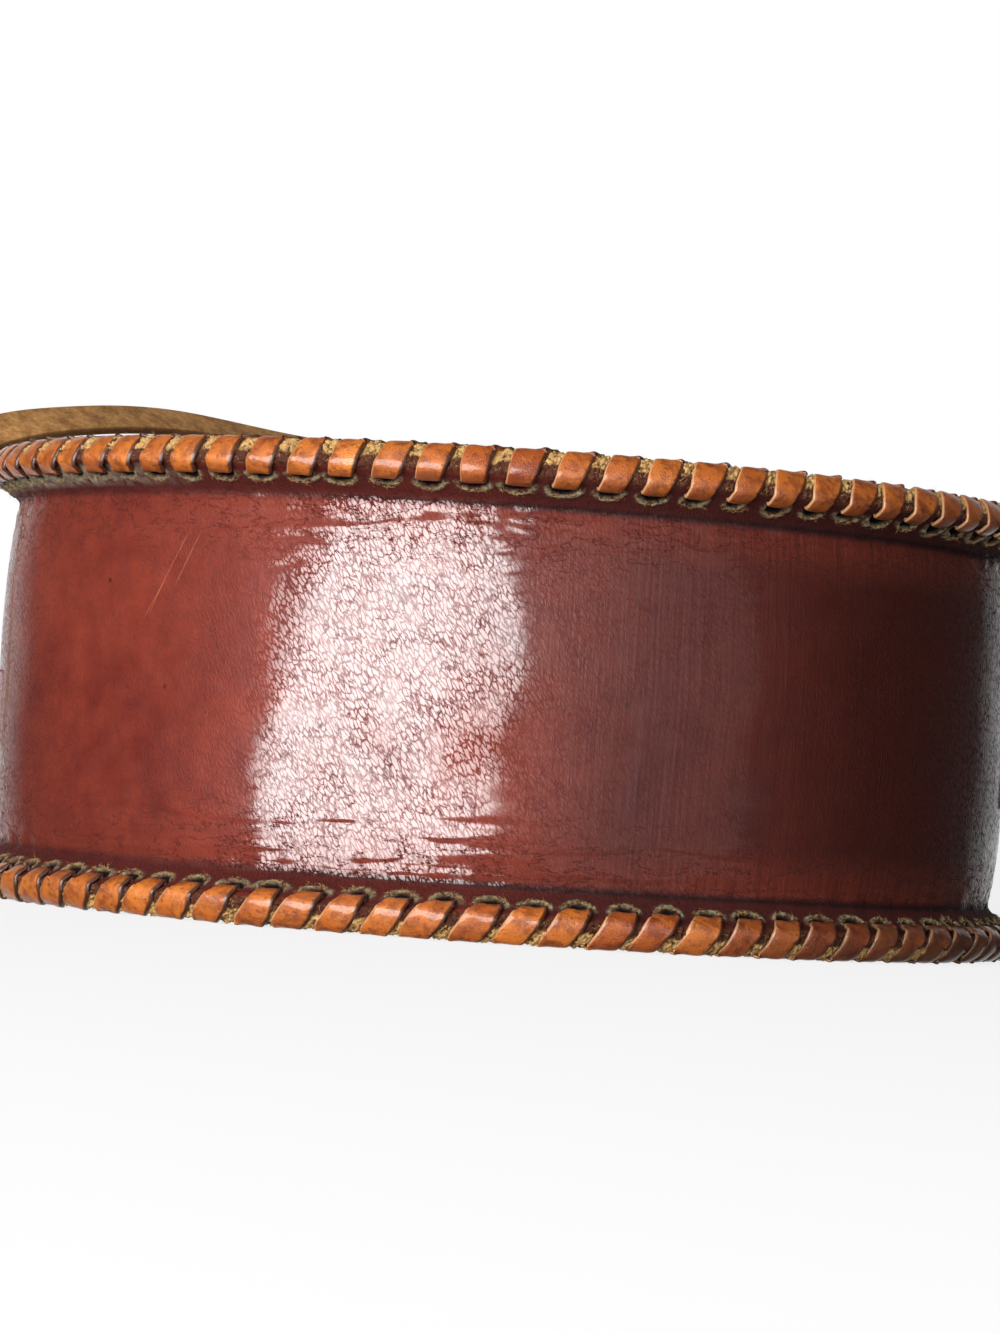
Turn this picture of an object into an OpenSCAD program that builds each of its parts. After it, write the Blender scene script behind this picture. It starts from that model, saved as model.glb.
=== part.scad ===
// Open-topped harness collar, lying flat on its back edge.
// The throat points along -Y, the open withers along +Y, and +Z is the collar's depth.

/* [Outline] */
// Radius of the throat, over the outer cover
throat_r = 161; // [150:1:175]
// Radius of the long sides, over the outer cover
side_r = 420; // [380:5:480]
// Radius of the withers, over the outer cover
withers_r = 75; // [70:1:84]
// Half of the opening between the two ends at the withers
half_gap = 18; // [15:0.5:21]

/* [Body] */
// Depth of the collar over both laced edges
depth = 140; // [130:1:155]
// Padding from outer face to neck face at the throat
throat_pad = 46.5; // [42:0.5:52]
// Padding at the draft, where the shoulders bear
draft_pad = 50; // [45:0.5:56]
// Padding at the withers ends
withers_pad_t = 38; // [35:0.5:40]
// How far the outer face pulls in at its edges
crown = 3; // [1:0.25:5]

/* [Laced edges] */
// Lean of the flared edges above level
flange_angle = 38; // [30:1:46]
// Width of the flared edge at its welt
flange_w = 13.5; // [12:0.1:16]
// Thickness of the outer cover leather
cover_t = 2.6; // [2.2:0.1:3.2]
// Thickness of the welt between the two leathers
welt_t = 2.4; // [1.8:0.1:3.2]
// Thickness of the lining leather
lining_t = 2.4; // [2:0.1:3]
// Width of the flat lace
lace_w = 9.4; // [7:0.1:10.5]
// Thickness of the flat lace
lace_t = 1.5; // [1.2:0.1:1.8]
// Distance from one stitch to the next
lace_pitch = 12.5; // [11:0.25:16]
// How far the lace stands off the leather it passes over
lace_clear = 0.1; // [0.05:0.05:0.3]
// Distance from the flare's root to the row of slits
slit_inset = 7; // [6:0.1:8]

/* [Withers] */
// Thickness of the leather caps on the two ends
cap_t = 2.5; // [2:0.1:3]
// Thickness of the padded tongue behind the gap
pad_t = 8; // [6:0.5:10]
// Half of the tongue's height along the collar's depth
pad_half = 44; // [36:1:50]
// Half of the tongue's reach round the withers, in degrees
pad_span = 47; // [40:1:52]
// Rounding of the tongue's neck side
pad_round = 3; // [2:0.5:4]

/* [Closing strap and buckle] */
// Width of the strap and of its chape
strap_w = 16; // [14:0.5:17]
// Thickness of the closing strap
strap_t = 3.6; // [2.5:0.1:4.2]
// Thickness of the chape leather
chape_t = 2.5; // [2:0.1:3]
// Radius of the buckle's heel bar and side bars
bar_r = 1.7; // [1.4:0.05:1.8]
// Length of the buckle from heel bar to front bar
buckle_len = 24; // [20:0.5:26]
// Radius of the buckle's front bar
front_bar_r = 1.35; // [1.1:0.05:1.5]
// Outer radius of the roller
roller_r = 2.4; // [2:0.05:2.6]
// Radius of the tongue's prong
prong_r = 1.3; // [1:0.05:1.5]
// Distance from the collar's middle plane to the buckle's heel bar
hinge_x = 24; // [23:0.5:25]
// Length of the chape behind the heel bar
chape_len = 20; // [19:0.5:21]
// Distance from the heel bar to the keeper
keeper_x = 13.5; // [13:0.25:14.5]
// Width of the keeper's leather
keeper_w = 6; // [5:0.5:6.5]
// Thickness of the keeper's leather
keeper_t = 2; // [1.6:0.1:2.4]
// Width of the tongue where it turns on the heel bar
tongue_w = 3.6; // [3:0.1:4]
// Angle that the open buckle hangs below level until it lies on the collar's end
droop = 9.5; // [7:0.5:10]
// Radius of the strap's punched holes
hole_r = 2.25; // [1.8:0.05:2.6]
// Distance between punched holes
hole_pitch = 14; // [11:0.5:16]

/* [Hame loops] */
// Free space between cover and loop
loop_gap = 16; // [12:0.5:20]
// Thickness of the loop leather
loop_t = 3; // [2.2:0.1:3.6]
// Height of the loop along the collar's depth
loop_h = 24; // [18:0.5:30]
// Height of the loop's middle above the collar's back
loop_z = 59; // [50:1:80]
// Length of each sewn foot
foot_len = 12; // [10:0.5:15]
// Distance from the throat arc's end to the loop's near wall, along the side
loop_near = 13; // [6:0.5:20]
// Distance from the throat arc's end to the loop's far wall, along the side
loop_far = 68; // [60:0.5:80]

/* [Fasteners and fits] */
// Radius of the rivet shanks
rivet_r = 1.6; // [1.2:0.05:2]
// Radius of the rivet heads
rivet_head_r = 3.4; // [2.8:0.05:3.8]
// Height of the rivet heads
head_h = 1.2; // [0.8:0.1:1.5]
// Running clearance of the bars in their bores
run = 0.05; // [0.03:0.01:0.08]
// Gap between a piece and its seat
seat = 0.3; // [0.2:0.05:0.4]

/* [Hidden] */
$fn = 32;
deg = 180 / PI;
mid = depth / 2;
sewn = 0.05;

// The outline is three arcs that meet with a shared tangent, mirrored in X.
turn_angle = acos((side_r - throat_r) / (side_r - withers_r));
arch = (side_r - withers_r) * sin(turn_angle);
throat_y = (throat_r - arch - withers_r) / 2;
withers_y = throat_y + arch;
side_x = throat_r - side_r;
end_angle = 90 - asin(half_gap / withers_r);
throat_len = throat_r * 90 / deg;
side_len = side_r * turn_angle / deg;
withers_len = withers_r * (end_angle - turn_angle) / deg;
half_len = throat_len + side_len + withers_len;

// Centre and radius of the arc at distance s from the throat, and its angle there
function half_arc(s) =
    s <= throat_len ? [0, throat_y, throat_r, -90 + s / throat_r * deg]
    : s <= throat_len + side_len ? [side_x, throat_y, side_r, (s - throat_len) / side_r * deg]
    : [0, withers_y, withers_r, turn_angle + (s - throat_len - side_len) / withers_r * deg];
// Point at distance s along the outline, r outside it and z above mid-depth
function at(s, p) =
    let (a = half_arc(abs(s)), reach = a[2] + p[0], x = a[0] + reach * cos(a[3]))
    [s < 0 ? -x : x, a[1] + reach * sin(a[3]), p[1] + mid];

throat_steps = 10;
side_steps = 8;
withers_steps = 4;
half_stations = concat(
    [for (i = [1:throat_steps]) throat_len * i / throat_steps],
    [for (i = [1:side_steps]) throat_len + side_len * i / side_steps],
    [for (i = [1:withers_steps]) throat_len + side_len + withers_len * i / withers_steps]);
last = len(half_stations) - 1;
stations = concat([for (i = [last:-1:0]) -half_stations[i]], [0], half_stations);

// A closed solid through a list of rings that all have the same number of points
module sweep(rings) {
    n = len(rings[0]);
    m = len(rings);
    walls = [for (i = [0:m - 2], j = [0:n - 1])
        let (a = i * n + j, b = i * n + (j + 1) % n)
        each [[a, b, b + n], [a, b + n, a + n]]];
    caps = [[for (j = [n - 1:-1:0]) j], [for (j = [0:n - 1]) (m - 1) * n + j]];
    polyhedron(points = [for (r = rings) each r], faces = concat(walls, caps), convexity = 10);
}

// Eased step from 0 to 1 and the padding's thickness along the outline
function ease(t) = let (c = min(1, max(0, t))) c * c * (3 - 2 * c);
draft_at = 0.6;
withers_at = 0.92;
function padding(s) =
    let (t = abs(s) / half_len)
    throat_pad + (draft_pad - throat_pad) * ease(t / draft_at)
    + (withers_pad_t - draft_pad) * ease((t - draft_at) / (withers_at - draft_at));

// The flared edge: u runs from its root to its tip, v through its layers
stack_t = cover_t + welt_t + lining_t;
leather_w = flange_w - 1;
lace_reach = flange_w - 0.1;
tip_mitre = 0.8;
flange_rise = (lace_reach + tip_mitre * lace_t / 2) * sin(flange_angle)
    + (stack_t + lace_t + lace_clear) * cos(flange_angle);
groove_z = mid - flange_rise;
function crown_r(z) = -crown * pow(abs(z) / groove_z, 4);
function flange(u, v) = [
    crown_r(groove_z) + u * cos(flange_angle) - v * sin(flange_angle),
    groove_z + u * sin(flange_angle) + v * cos(flange_angle)];
function flip(points) = [for (i = [len(points) - 1:-1:0]) [points[i][0], -points[i][1]]];
function both(points) = concat(flip(points), points);

// Heights of the rows that shape the crowned face, as shares of the groove's height
face_rows = [0.35, 0.68, 0.86, 1];
inner_rows = [0.5, 0.9];
root_u = -0.5;
function crowned(rows, inset) = [for (k = rows) [crown_r(k * groove_z) - inset, k * groove_z]];
function cover_outside() = concat(crowned(face_rows, 0), [flange(leather_w, 0)]);
function cover_inside() = concat(crowned(inner_rows, cover_t),
    [flange(root_u, cover_t), flange(leather_w, cover_t)]);
function cover_section() = concat(both(cover_outside()), backwards(both(cover_inside())));

// The neck face: share of the padding, height above mid-depth and the way inwards
face_over = cover_t / 2;
face_z = groove_z + stack_t * cos(flange_angle) + face_over;
face = [[0.30, 0.99, 0, -1], [0.52, 1, 0, -1], [0.73, 0.958, 0.5, -0.87],
    [0.88, 0.843, 0.85, -0.53], [0.97, 0.628, 0.97, -0.24], [1, 0.25, 1, 0]];
function face_points(s, inset) =
    [for (f = face) [-f[0] * padding(s) + f[2] * inset, f[1] * face_z + f[3] * inset]];
function backwards(points) = [for (i = [len(points) - 1:-1:0]) points[i]];
function lining_outside(s) = concat(backwards(face_points(s, 0)),
    [flange(root_u, stack_t), flange(leather_w, stack_t)]);
function lining_inside(s) = concat(backwards(face_points(s, lining_t)),
    [flange(root_u, cover_t + welt_t + sewn), flange(leather_w, cover_t + welt_t + sewn)]);
function lining_section(s) = concat(both(lining_inside(s)), backwards(both(lining_outside(s))));

function straw_section(s) = concat(
    both(crowned(inner_rows, cover_t + seat)),
    backwards(both(backwards(face_points(s, lining_t + seat)))));
function welt_section() = [
    flange(0, cover_t + sewn), flange(flange_w, cover_t + sewn),
    flange(flange_w, cover_t + welt_t), flange(0, cover_t + welt_t)];

// One lace turn in the flare's u and v: out of a slit, over the tip and back to the slit.
// Each row holds its place, its outward mitre and its share of the pitch.
function lace_turn() = let (out = lace_t / 2 + lace_clear) [
    [slit_inset, -out, -1, -1, 0],
    [lace_reach, -out, tip_mitre, -1, 0.2],
    [lace_reach + tip_mitre * lace_t, stack_t / 2, 1, 0, 0.35],
    [lace_reach, stack_t + out, tip_mitre, 1, 0.5],
    [slit_inset, stack_t + out, -1, 1, 0.85]];
function lace_ring(s, turn) =
    let (half = lace_t / 2, h = lace_w / 2,
        inner = flange(turn[0] - turn[2] * half, turn[1] - turn[3] * half),
        outer = flange(turn[0] + turn[2] * half, turn[1] + turn[3] * half))
    [at(s - h, inner), at(s + h, inner), at(s + h, outer), at(s - h, outer)];
module lace() {
    turns = floor((2 * half_len - lace_w) / lace_pitch) - 1;
    start = -turns * lace_pitch / 2;
    color("#bf7335") sweep([for (i = [0:turns - 1], t = lace_turn())
        lace_ring(start + (i + t[4]) * lace_pitch, t)]);
}
// The back edge is the front edge turned over, so its lacing leans the same way.
module turned_over() { translate([0, 0, depth]) rotate([0, 180, 0]) children(); }

module outer_cover() {
    color("#6b2a20") sweep([for (s = stations) [for (p = cover_section()) at(s, p)]]);
}
module neck_lining() {
    color("#8a5a3a") sweep([for (s = stations) [for (p = lining_section(s)) at(s, p)]]);
}
module straw_filling() {
    color("#cdb06a") sweep([for (s = stations) [for (p = straw_section(s)) at(s, p)]]);
}
module welt() {
    color("#b98a4e") sweep([for (s = stations) [for (p = welt_section()) at(s, p)]]);
}
module front_welt() { welt(); }
module back_welt() { turned_over() welt(); }
module front_lace() { lace(); }
module back_lace() { turned_over() lace(); }

// Leather caps close the two stuffed ends at the withers.
module end_cap() {
    outline = concat(both(crowned(face_rows, 0)),
        backwards(both(backwards(face_points(half_len, 0)))));
    color("#5c241b") translate([0, withers_y, mid]) rotate([90, 0, end_angle])
        translate([withers_r, 0, -cap_t - sewn]) linear_extrude(cap_t) polygon(outline);
}
module right_end_cap() { end_cap(); }
module left_end_cap() { mirror([1, 0, 0]) end_cap(); }

// A padded tongue lies against the neck face and bridges the gap.
module withers_pad() {
    neck_r = withers_r - withers_pad_t - 2 * seat;
    inner_r = neck_r - pad_t;
    color("#7a4a30") translate([0, withers_y, mid]) rotate([0, 0, 90 - pad_span])
        rotate_extrude(angle = 2 * pad_span, $fn = 96) polygon([
            [inner_r, pad_round - pad_half], [inner_r + pad_round, -pad_half],
            [neck_r, -pad_half], [neck_r, pad_half],
            [inner_r + pad_round, pad_half], [inner_r, pad_half - pad_round]]);
}

// The strap and the buckle sit on the front face, one on each side of the gap.
face_top = mid + face_z;
seat_z = face_top + seat;
strap_inset = 32;
seat_y = withers_y + withers_r - strap_inset;
strap_end_x = -42;
strap_lift_x = -28;
strap_z = seat_z + strap_t / 2;
tail_top = [-214, -5, 100];
tail_way = [-0.65, 0.76, 0];
tail_holes = 4;
// The strap is thrown back over the left arm. Each row holds a point on its middle line, chosen
// by hand, and the way its width points there.
strap_route = concat([
    [[strap_end_x, seat_y, strap_z], [0, 1, 0]],
    [[(strap_end_x + strap_lift_x) / 2, seat_y, strap_z], [0, 1, 0]],
    [[strap_lift_x, seat_y, strap_z], [0, 1, 0]],
    [[-18, seat_y, strap_z + 3.5], [0, 1, 0]],
    [[-11, seat_y - 1, strap_z + 12], [0, 1, 0]],
    [[-14, seat_y - 3, strap_z + 23], [0, 1, 0.1]],
    [[-34, seat_y - 10, strap_z + 31], [-0.1, 0.97, 0.25]],
    [[-82, 150, 166], [-0.5, 0.7, 0.45]],
    [[-125, 102, 168], [-0.65, 0.55, 0.5]],
    [[-157, 60, 163], [-0.66, 0.55, 0.5]],
    [[-183, 30, 154], [-0.68, 0.5, 0.5]],
    [[-200, 10, 138], [-0.72, 0.6, 0.25]],
    [[-211, -2, 118], tail_way]],
    [for (i = [0:tail_holes]) [tail_top - [0, 0, i * hole_pitch], tail_way]]);
route_last = len(strap_route) - 1;
function unit(v) = v / norm(v);
function row(i) = strap_route[min(route_last, max(0, i))];
// Smooth curve through four rows, for a place and for a width direction alike
function curve(a, b, c, d, t) =
    0.5 * (2 * b + (c - a) * t + (2 * a - 5 * b + 4 * c - d) * t * t
    + (3 * b - a - 3 * c + d) * t * t * t);
function strap_at(i, t, k) = curve(row(i - 1)[k], row(i)[k], row(i + 1)[k], row(i + 2)[k], t);
strap_cuts = 3;
strap_line = concat(
    [for (i = [0:route_last - 1], c = [0:strap_cuts - 1])
        [strap_at(i, c / strap_cuts, 0), strap_at(i, c / strap_cuts, 1)]],
    [row(route_last)]);
function strap_ring(k, share) =
    let (p = strap_line[k][0], n = len(strap_line) - 1,
        along = unit(strap_line[min(n, k + 1)][0] - strap_line[max(0, k - 1)][0]),
        w = strap_line[k][1],
        across = unit(w - (w * along) * along) * strap_w / 2 * share,
        up = unit(cross(along, across)) * strap_t / 2)
    [p - across - up, p + across - up, p + across + up, p - across + up];
tail_face = cross([0, 0, -1], unit(tail_way));
rivet_xs = [strap_end_x + 3, strap_end_x + 10];
burr = 0.3;
tip_share = 0.45;
module closing_strap() {
    n = len(strap_line) - 1;
    color("#7c5236") difference() {
        sweep([for (k = [0:n]) strap_ring(n - k, k == 0 ? tip_share : 1)]);
        for (i = [0:tail_holes - 1])
            translate(tail_top - [0, 0, i * hole_pitch])
                rotate([0, 90, atan2(tail_face[1], tail_face[0])])
                cylinder(r = hole_r, h = strap_t * 3, center = true);
        for (x = rivet_xs)
            translate([x, seat_y, seat_z - 1]) cylinder(r = rivet_r + run, h = strap_t + 2);
    }
}

// Rivet with its shank down from the face of what it holds, and a low domed head on it
module rivet(grip) {
    translate([0, 0, -grip]) cylinder(r = rivet_r, h = grip);
    rotate_extrude() polygon([[0, 0], [rivet_head_r, 0], [rivet_head_r * 0.92, head_h * 0.45],
        [rivet_head_r * 0.6, head_h * 0.85], [0, head_h]]);
}
module strap_rivets() {
    color("#a8743c") for (x = rivet_xs)
        translate([x, seat_y, seat_z + strap_t + burr]) rivet(strap_t + burr + seat + lining_t);
}

// The chape folds round the buckle's heel bar.
wrap_r = bar_r + run + chape_t;
bar_z = seat_z + wrap_r;
arm_y = strap_w / 2 + seat + bar_r;
slot_back = 6.5;
module at_hinge() { translate([hinge_x, seat_y, bar_z]) children(); }
module at_frame() { at_hinge() rotate([0, -droop, 0]) children(); }
module across_strap(w) { rotate([90, 0, 0]) linear_extrude(w, center = true) children(); }
module bar(r, w) { rotate([90, 0, 0]) cylinder(r = r, h = w, center = true); }
chape_rivet_x = keeper_x + keeper_w / 2;
chape_rivet_y = strap_w / 2 - rivet_head_r - 0.2;
module buckle_chape() {
    color("#6e4229") at_hinge() difference() {
        across_strap(strap_w) union() {
            circle(wrap_r, $fn = 64);
            polygon([[0, -wrap_r], [chape_len, -wrap_r], [chape_len, 2 * chape_t - wrap_r],
                [2 * wrap_r, 2 * chape_t - wrap_r], [0, wrap_r]]);
        }
        bar(bar_r + run, strap_w + 2);
        translate([-wrap_r - 1, -tongue_w / 2 - seat, -wrap_r - 1])
            cube([wrap_r + 1 + slot_back, tongue_w + 2 * seat, 2 * wrap_r + 2]);
        for (side = [-1, 1]) translate([chape_rivet_x, side * chape_rivet_y, -wrap_r - 1])
            cylinder(r = rivet_r + run, h = 2 * chape_t + 2);
    }
}
module chape_rivets() {
    color("#a8743c") at_hinge() for (side = [-1, 1])
        translate([chape_rivet_x, side * chape_rivet_y, 2 * chape_t - wrap_r])
            rivet(2 * chape_t + seat + lining_t);
}
keeper_slack = 0.8;
module chape_keeper() {
    room = 2 * chape_t + head_h + strap_t + keeper_slack;
    window = strap_w / 2 + seat;
    color("#6e4229") at_hinge() translate([keeper_x, 0, -wrap_r]) difference() {
        translate([0, -window - keeper_t, 0]) cube([keeper_w, 2 * (window + keeper_t), room + keeper_t]);
        translate([-1, -window, -1]) cube([keeper_w + 2, 2 * window, room + 1]);
    }
}
eye_r = bar_r + 0.3;
module buckle_frame() {
    color("#8c8474") at_frame() union() {
        bar(bar_r, 2 * arm_y);
        translate([-buckle_len, 0, 0]) bar(front_bar_r, 2 * arm_y);
        for (side = [-1, 1]) translate([0, side * arm_y, 0]) across_strap(2 * bar_r) {
            circle(eye_r);
            translate([-buckle_len, 0]) circle(eye_r);
            translate([-buckle_len, -eye_r]) square([buckle_len, 2 * eye_r]);
        }
    }
}
module buckle_roller() {
    w = 2 * (arm_y - bar_r - seat);
    color("#a09a8c") at_frame() translate([-buckle_len, 0, 0]) difference() {
        bar(roller_r, w);
        bar(front_bar_r + run, w + 2);
    }
}
ring_t = 1.2;
tongue_over = 2;
module buckle_tongue() {
    ring_r = bar_r + run + ring_t;
    rise = roller_r + run + prong_r - (ring_r - prong_r);
    slope = atan(rise / buckle_len);
    color("#8c8474") at_frame() difference() {
        union() {
            bar(ring_r, tongue_w);
            translate([0, 0, ring_r - prong_r]) rotate([0, slope - 90, 0]) {
                cylinder(r = prong_r, h = buckle_len + tongue_over);
                translate([0, 0, buckle_len + tongue_over]) sphere(prong_r);
            }
        }
        bar(bar_r + run, tongue_w + 2);
    }
}

// A loop on each side holds the hame against the collar.
foot = foot_len / side_r * deg;
loop_from = loop_near / side_r * deg;
loop_to = loop_far / side_r * deg;
// Part of a flat ring round the side arc's centre, between two angles
module sector(from, to, inner, outer) {
    far = 2 * outer;
    intersection() {
        difference() {
            circle(outer, $fn = 720);
            circle(inner, $fn = 720);
        }
        polygon([[0, 0], far * [cos(from), sin(from)], far * [cos(to), sin(to)]]);
    }
}
module on_side() { translate([side_x, throat_y, loop_z]) children(); }
module hame_loop() {
    base = side_r + seat;
    wall = loop_t / side_r * deg;
    color("#5c241b") on_side() difference() {
        linear_extrude(loop_h, center = true) difference() {
            union() {
                sector(loop_from - foot, loop_to + foot, base, base + loop_t);
                sector(loop_from, loop_to, base, base + loop_gap + loop_t);
            }
            sector(loop_from + wall, loop_to - wall, base - 1, base + loop_gap);
        }
        for (a = [loop_from - foot / 2, loop_to + foot / 2]) rotate([0, 0, a])
            translate([base - 1, 0, 0]) rotate([0, 90, 0]) cylinder(r = rivet_r + run, h = loop_t + 2);
    }
}
module loop_rivets() {
    color("#a8743c") on_side() for (a = [loop_from - foot / 2, loop_to + foot / 2])
        rotate([0, 0, a]) translate([side_r + seat + loop_t, 0, 0]) rotate([0, 90, 0])
            rivet(loop_t + seat + cover_t);
}
module right_hame_loop() { hame_loop(); }
module left_hame_loop() { mirror([1, 0, 0]) hame_loop(); }
module right_loop_rivets() { loop_rivets(); }
module left_loop_rivets() { mirror([1, 0, 0]) loop_rivets(); }

outer_cover();
neck_lining();
straw_filling();
front_welt();
back_welt();
front_lace();
back_lace();
left_end_cap();
right_end_cap();
withers_pad();
closing_strap();
strap_rivets();
buckle_chape();
chape_rivets();
chape_keeper();
buckle_frame();
buckle_roller();
buckle_tongue();
left_hame_loop();
right_hame_loop();
left_loop_rivets();
right_loop_rivets();
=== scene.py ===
# %% [markdown]
# # An open-topped harness collar
# A harness collar is a stuffed leather ring. A glossy outer cover and a softer neck lining meet
# at two flared edges, where a flat lace whips them together over a welt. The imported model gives
# the rigid pieces as they are; this script dresses it, one piece or finish to a step.

# %% Load the frame
import math

import bpy
import numpy as np
from mathutils import Matrix, Vector


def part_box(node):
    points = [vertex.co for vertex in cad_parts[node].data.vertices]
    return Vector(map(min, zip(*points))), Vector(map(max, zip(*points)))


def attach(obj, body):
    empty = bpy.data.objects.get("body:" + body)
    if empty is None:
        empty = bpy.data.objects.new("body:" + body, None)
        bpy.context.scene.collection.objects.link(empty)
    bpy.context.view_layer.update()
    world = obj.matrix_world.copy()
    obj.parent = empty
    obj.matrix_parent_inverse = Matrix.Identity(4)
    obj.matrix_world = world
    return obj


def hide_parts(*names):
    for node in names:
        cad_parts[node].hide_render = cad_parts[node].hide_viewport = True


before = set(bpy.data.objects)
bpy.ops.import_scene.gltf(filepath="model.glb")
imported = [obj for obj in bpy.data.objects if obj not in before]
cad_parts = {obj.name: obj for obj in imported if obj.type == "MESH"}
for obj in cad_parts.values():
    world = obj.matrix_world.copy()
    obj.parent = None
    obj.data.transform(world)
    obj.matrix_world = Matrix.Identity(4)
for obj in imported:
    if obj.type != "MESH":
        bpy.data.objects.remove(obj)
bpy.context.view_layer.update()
scene = bpy.context.scene

# %% [markdown]
# ## Camera
# The camera is made first, because everything else is judged through it. A long lens from over a
# metre away keeps the band's sides from bulging. The head is tipped a little, so the collar leans.

# %% Camera
LENS_MM = 108.2
CAMERA_AT = (-0.0018, -1.359, 0.0475)
CAMERA_PITCH = math.radians(1.55)
CAMERA_ROLL = math.radians(3.8)


def make_camera():
    data = bpy.data.cameras.new("camera")
    data.lens = LENS_MM
    data.sensor_width = 36
    camera = bpy.data.objects.new("camera", data)
    scene.collection.objects.link(camera)
    upright = Matrix.Rotation(math.radians(90) + CAMERA_PITCH, 4, "X")
    camera.matrix_world = Matrix.Translation(CAMERA_AT) @ upright @ Matrix.Rotation(CAMERA_ROLL, 4, "Z")
    scene.camera = camera


make_camera()
print("camera at, m:", CAMERA_AT)

# %% [markdown]
# ## Shader sums
# Node trees are easier to read as sums. `Wire` wraps one socket, so `1 - mask` or `a * b` adds
# the Math node it stands for. Every other node comes from the one method `node`, which sets the
# node's own settings first and then its sockets. Colours go through Mix, since Math greys them.

# %% Wire
class Wire:
    """One output socket of a node tree, with arithmetic."""

    def __init__(self, tree, socket):
        self.tree = tree
        self.socket = socket

    @classmethod
    def node(cls, tree, kind, settings=None, inputs=None, out=0):
        made = tree.nodes.new("ShaderNode" + kind)
        for name, value in (settings or {}).items():
            setattr(made, name, value)
        for name, value in (inputs or {}).items():
            if isinstance(value, Wire):
                tree.links.new(value.socket, made.inputs[name])
            else:
                made.inputs[name].default_value = value
        return cls(tree, made.outputs[out])

    def math(self, operation, first, second=0.0, clamp=False):
        settings = {"operation": operation, "use_clamp": clamp}
        return Wire.node(self.tree, "Math", settings, {0: first, 1: second})

    def __add__(self, other):
        return self.math("ADD", self, other)

    __radd__ = __add__

    def __sub__(self, other):
        return self.math("SUBTRACT", self, other)

    def __rsub__(self, other):
        return self.math("SUBTRACT", other, self)

    def __mul__(self, other):
        return self.math("MULTIPLY", self, other)

    __rmul__ = __mul__

    def __truediv__(self, other):
        return self.math("DIVIDE", self, other)

    def clamped(self):
        return self.math("ADD", self, 0.0, clamp=True)

    def above(self, low, high):
        """0 below low, 1 above high, and a straight ramp between them."""
        return ((self - low) / (high - low)).clamped()

    def size(self):
        """The value without its sign."""
        return self.math("ABSOLUTE", self)

    def near(self, level, width):
        """1 at level, falling to 0 at width either side of it."""
        return 1 - (self - level).size().above(0.0, width)


def colour(red, green, blue):
    """A colour given in screen values 0-255, turned to the linear values that sockets take."""
    def linear(value):
        value = value / 255
        return value / 12.92 if value <= 0.04045 else ((value + 0.055) / 1.055) ** 2.4
    return (linear(red), linear(green), linear(blue), 1.0)


def blend(factor, first, second):
    """Mix between two colours, each a Wire or three screen values."""
    settings = {"data_type": "RGBA"}
    first, second = (each if isinstance(each, Wire) else colour(*each) for each in (first, second))
    return Wire.node(factor.tree, "Mix", settings, {0: factor, 6: first, 7: second}, out=2)


def stained(base, *stains):
    """Lays stains over a colour in turn. Each is a mask and then its colour in screen values."""
    for mask, *shade in stains:
        base = blend(mask, base, shade)
    return base


# %% [markdown]
# ## Noise, attributes and the shader
# A finish is built from patterns. `noise` and `cells` give them in object space, where a scale is
# turns per metre, so a grain of 1.3 mm is a scale near 770. `attribute` reads a value that the
# mesh carries at each point, and `laid` turns two of those into coordinates that follow the band,
# which lets grain lean with the leather instead of with the world.

# %% Pattern helpers
MM = 0.001


class Finish:
    """A material under construction: its tree, its shader and its pattern sources."""

    def __init__(self, name, constants):
        self.material = bpy.data.materials.new(name)
        self.material.use_nodes = True
        self.tree = self.material.node_tree
        self.shader = self.tree.nodes["Principled BSDF"]
        for socket, value in constants.items():
            self.shader.inputs[socket].default_value = value
        self.where = Wire.node(self.tree, "TexCoord", out="Object")

    def stretched(self, scale):
        settings = {"vector_type": "POINT"}
        return Wire.node(self.tree, "Mapping", settings, {"Vector": self.where, "Scale": scale})

    def noise(self, scale, detail, rough, vector=None):
        inputs = {"Vector": vector or self.where, "Scale": scale, "Detail": detail, "Roughness": rough}
        return Wire.node(self.tree, "TexNoise", None, inputs)

    def cells(self, scale, feature="DISTANCE_TO_EDGE", vector=None):
        inputs = {"Vector": vector or self.where, "Scale": scale}
        return Wire.node(self.tree, "TexVoronoi", {"feature": feature}, inputs, out="Distance")

    def pushed(self, scale, amount, vector=None):
        """Coordinates pushed about by noise, so that a pattern loses its regular shape."""
        vector = vector or self.where
        push = Wire.node(self.tree, "TexNoise", None, {"Vector": vector, "Scale": scale}, out=1)
        sums = {0: push, 1: (amount,) * 3, 2: vector}
        return Wire.node(self.tree, "VectorMath", {"operation": "MULTIPLY_ADD"}, sums)

    def attribute(self, name):
        return Wire.node(self.tree, "Attribute", {"attribute_name": name}, out="Fac")

    def laid(self, along_mm, rise_mm, lean=0.0, warp=0.0):
        """Coordinates that follow the band: one turn per that many millimetres each way."""
        along, rise = self.attribute("along"), self.attribute("rise")
        inputs = {"X": (along + rise * lean) / along_mm, "Y": rise / rise_mm}
        return self.pushed(0.8, warp, Wire.node(self.tree, "CombineXYZ", None, inputs))

    def scratch(self, along, rise, lean, length, width=0.22):
        """A thin straight scratch about a place on the band, leaning by lean mm for each mm up."""
        off = self.attribute("rise") - rise
        side = self.attribute("along") - along - off * lean
        return side.near(0.0, width) * off.near(0.0, length / 2).above(0.0, 0.3)

    def set(self, socket, wire):
        self.tree.links.new(wire.socket, self.shader.inputs[socket])

    def done(self, base, rough, height, depth_mm):
        """Feeds colour, roughness and bump to the shader and gives the material."""
        inputs = {"Height": height, "Distance": depth_mm * MM}
        bump = Wire.node(self.tree, "Bump", None, inputs)
        for socket, wire in (("Base Color", base), ("Roughness", rough), ("Normal", bump)):
            self.set(socket, wire)
        return self.material


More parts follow.
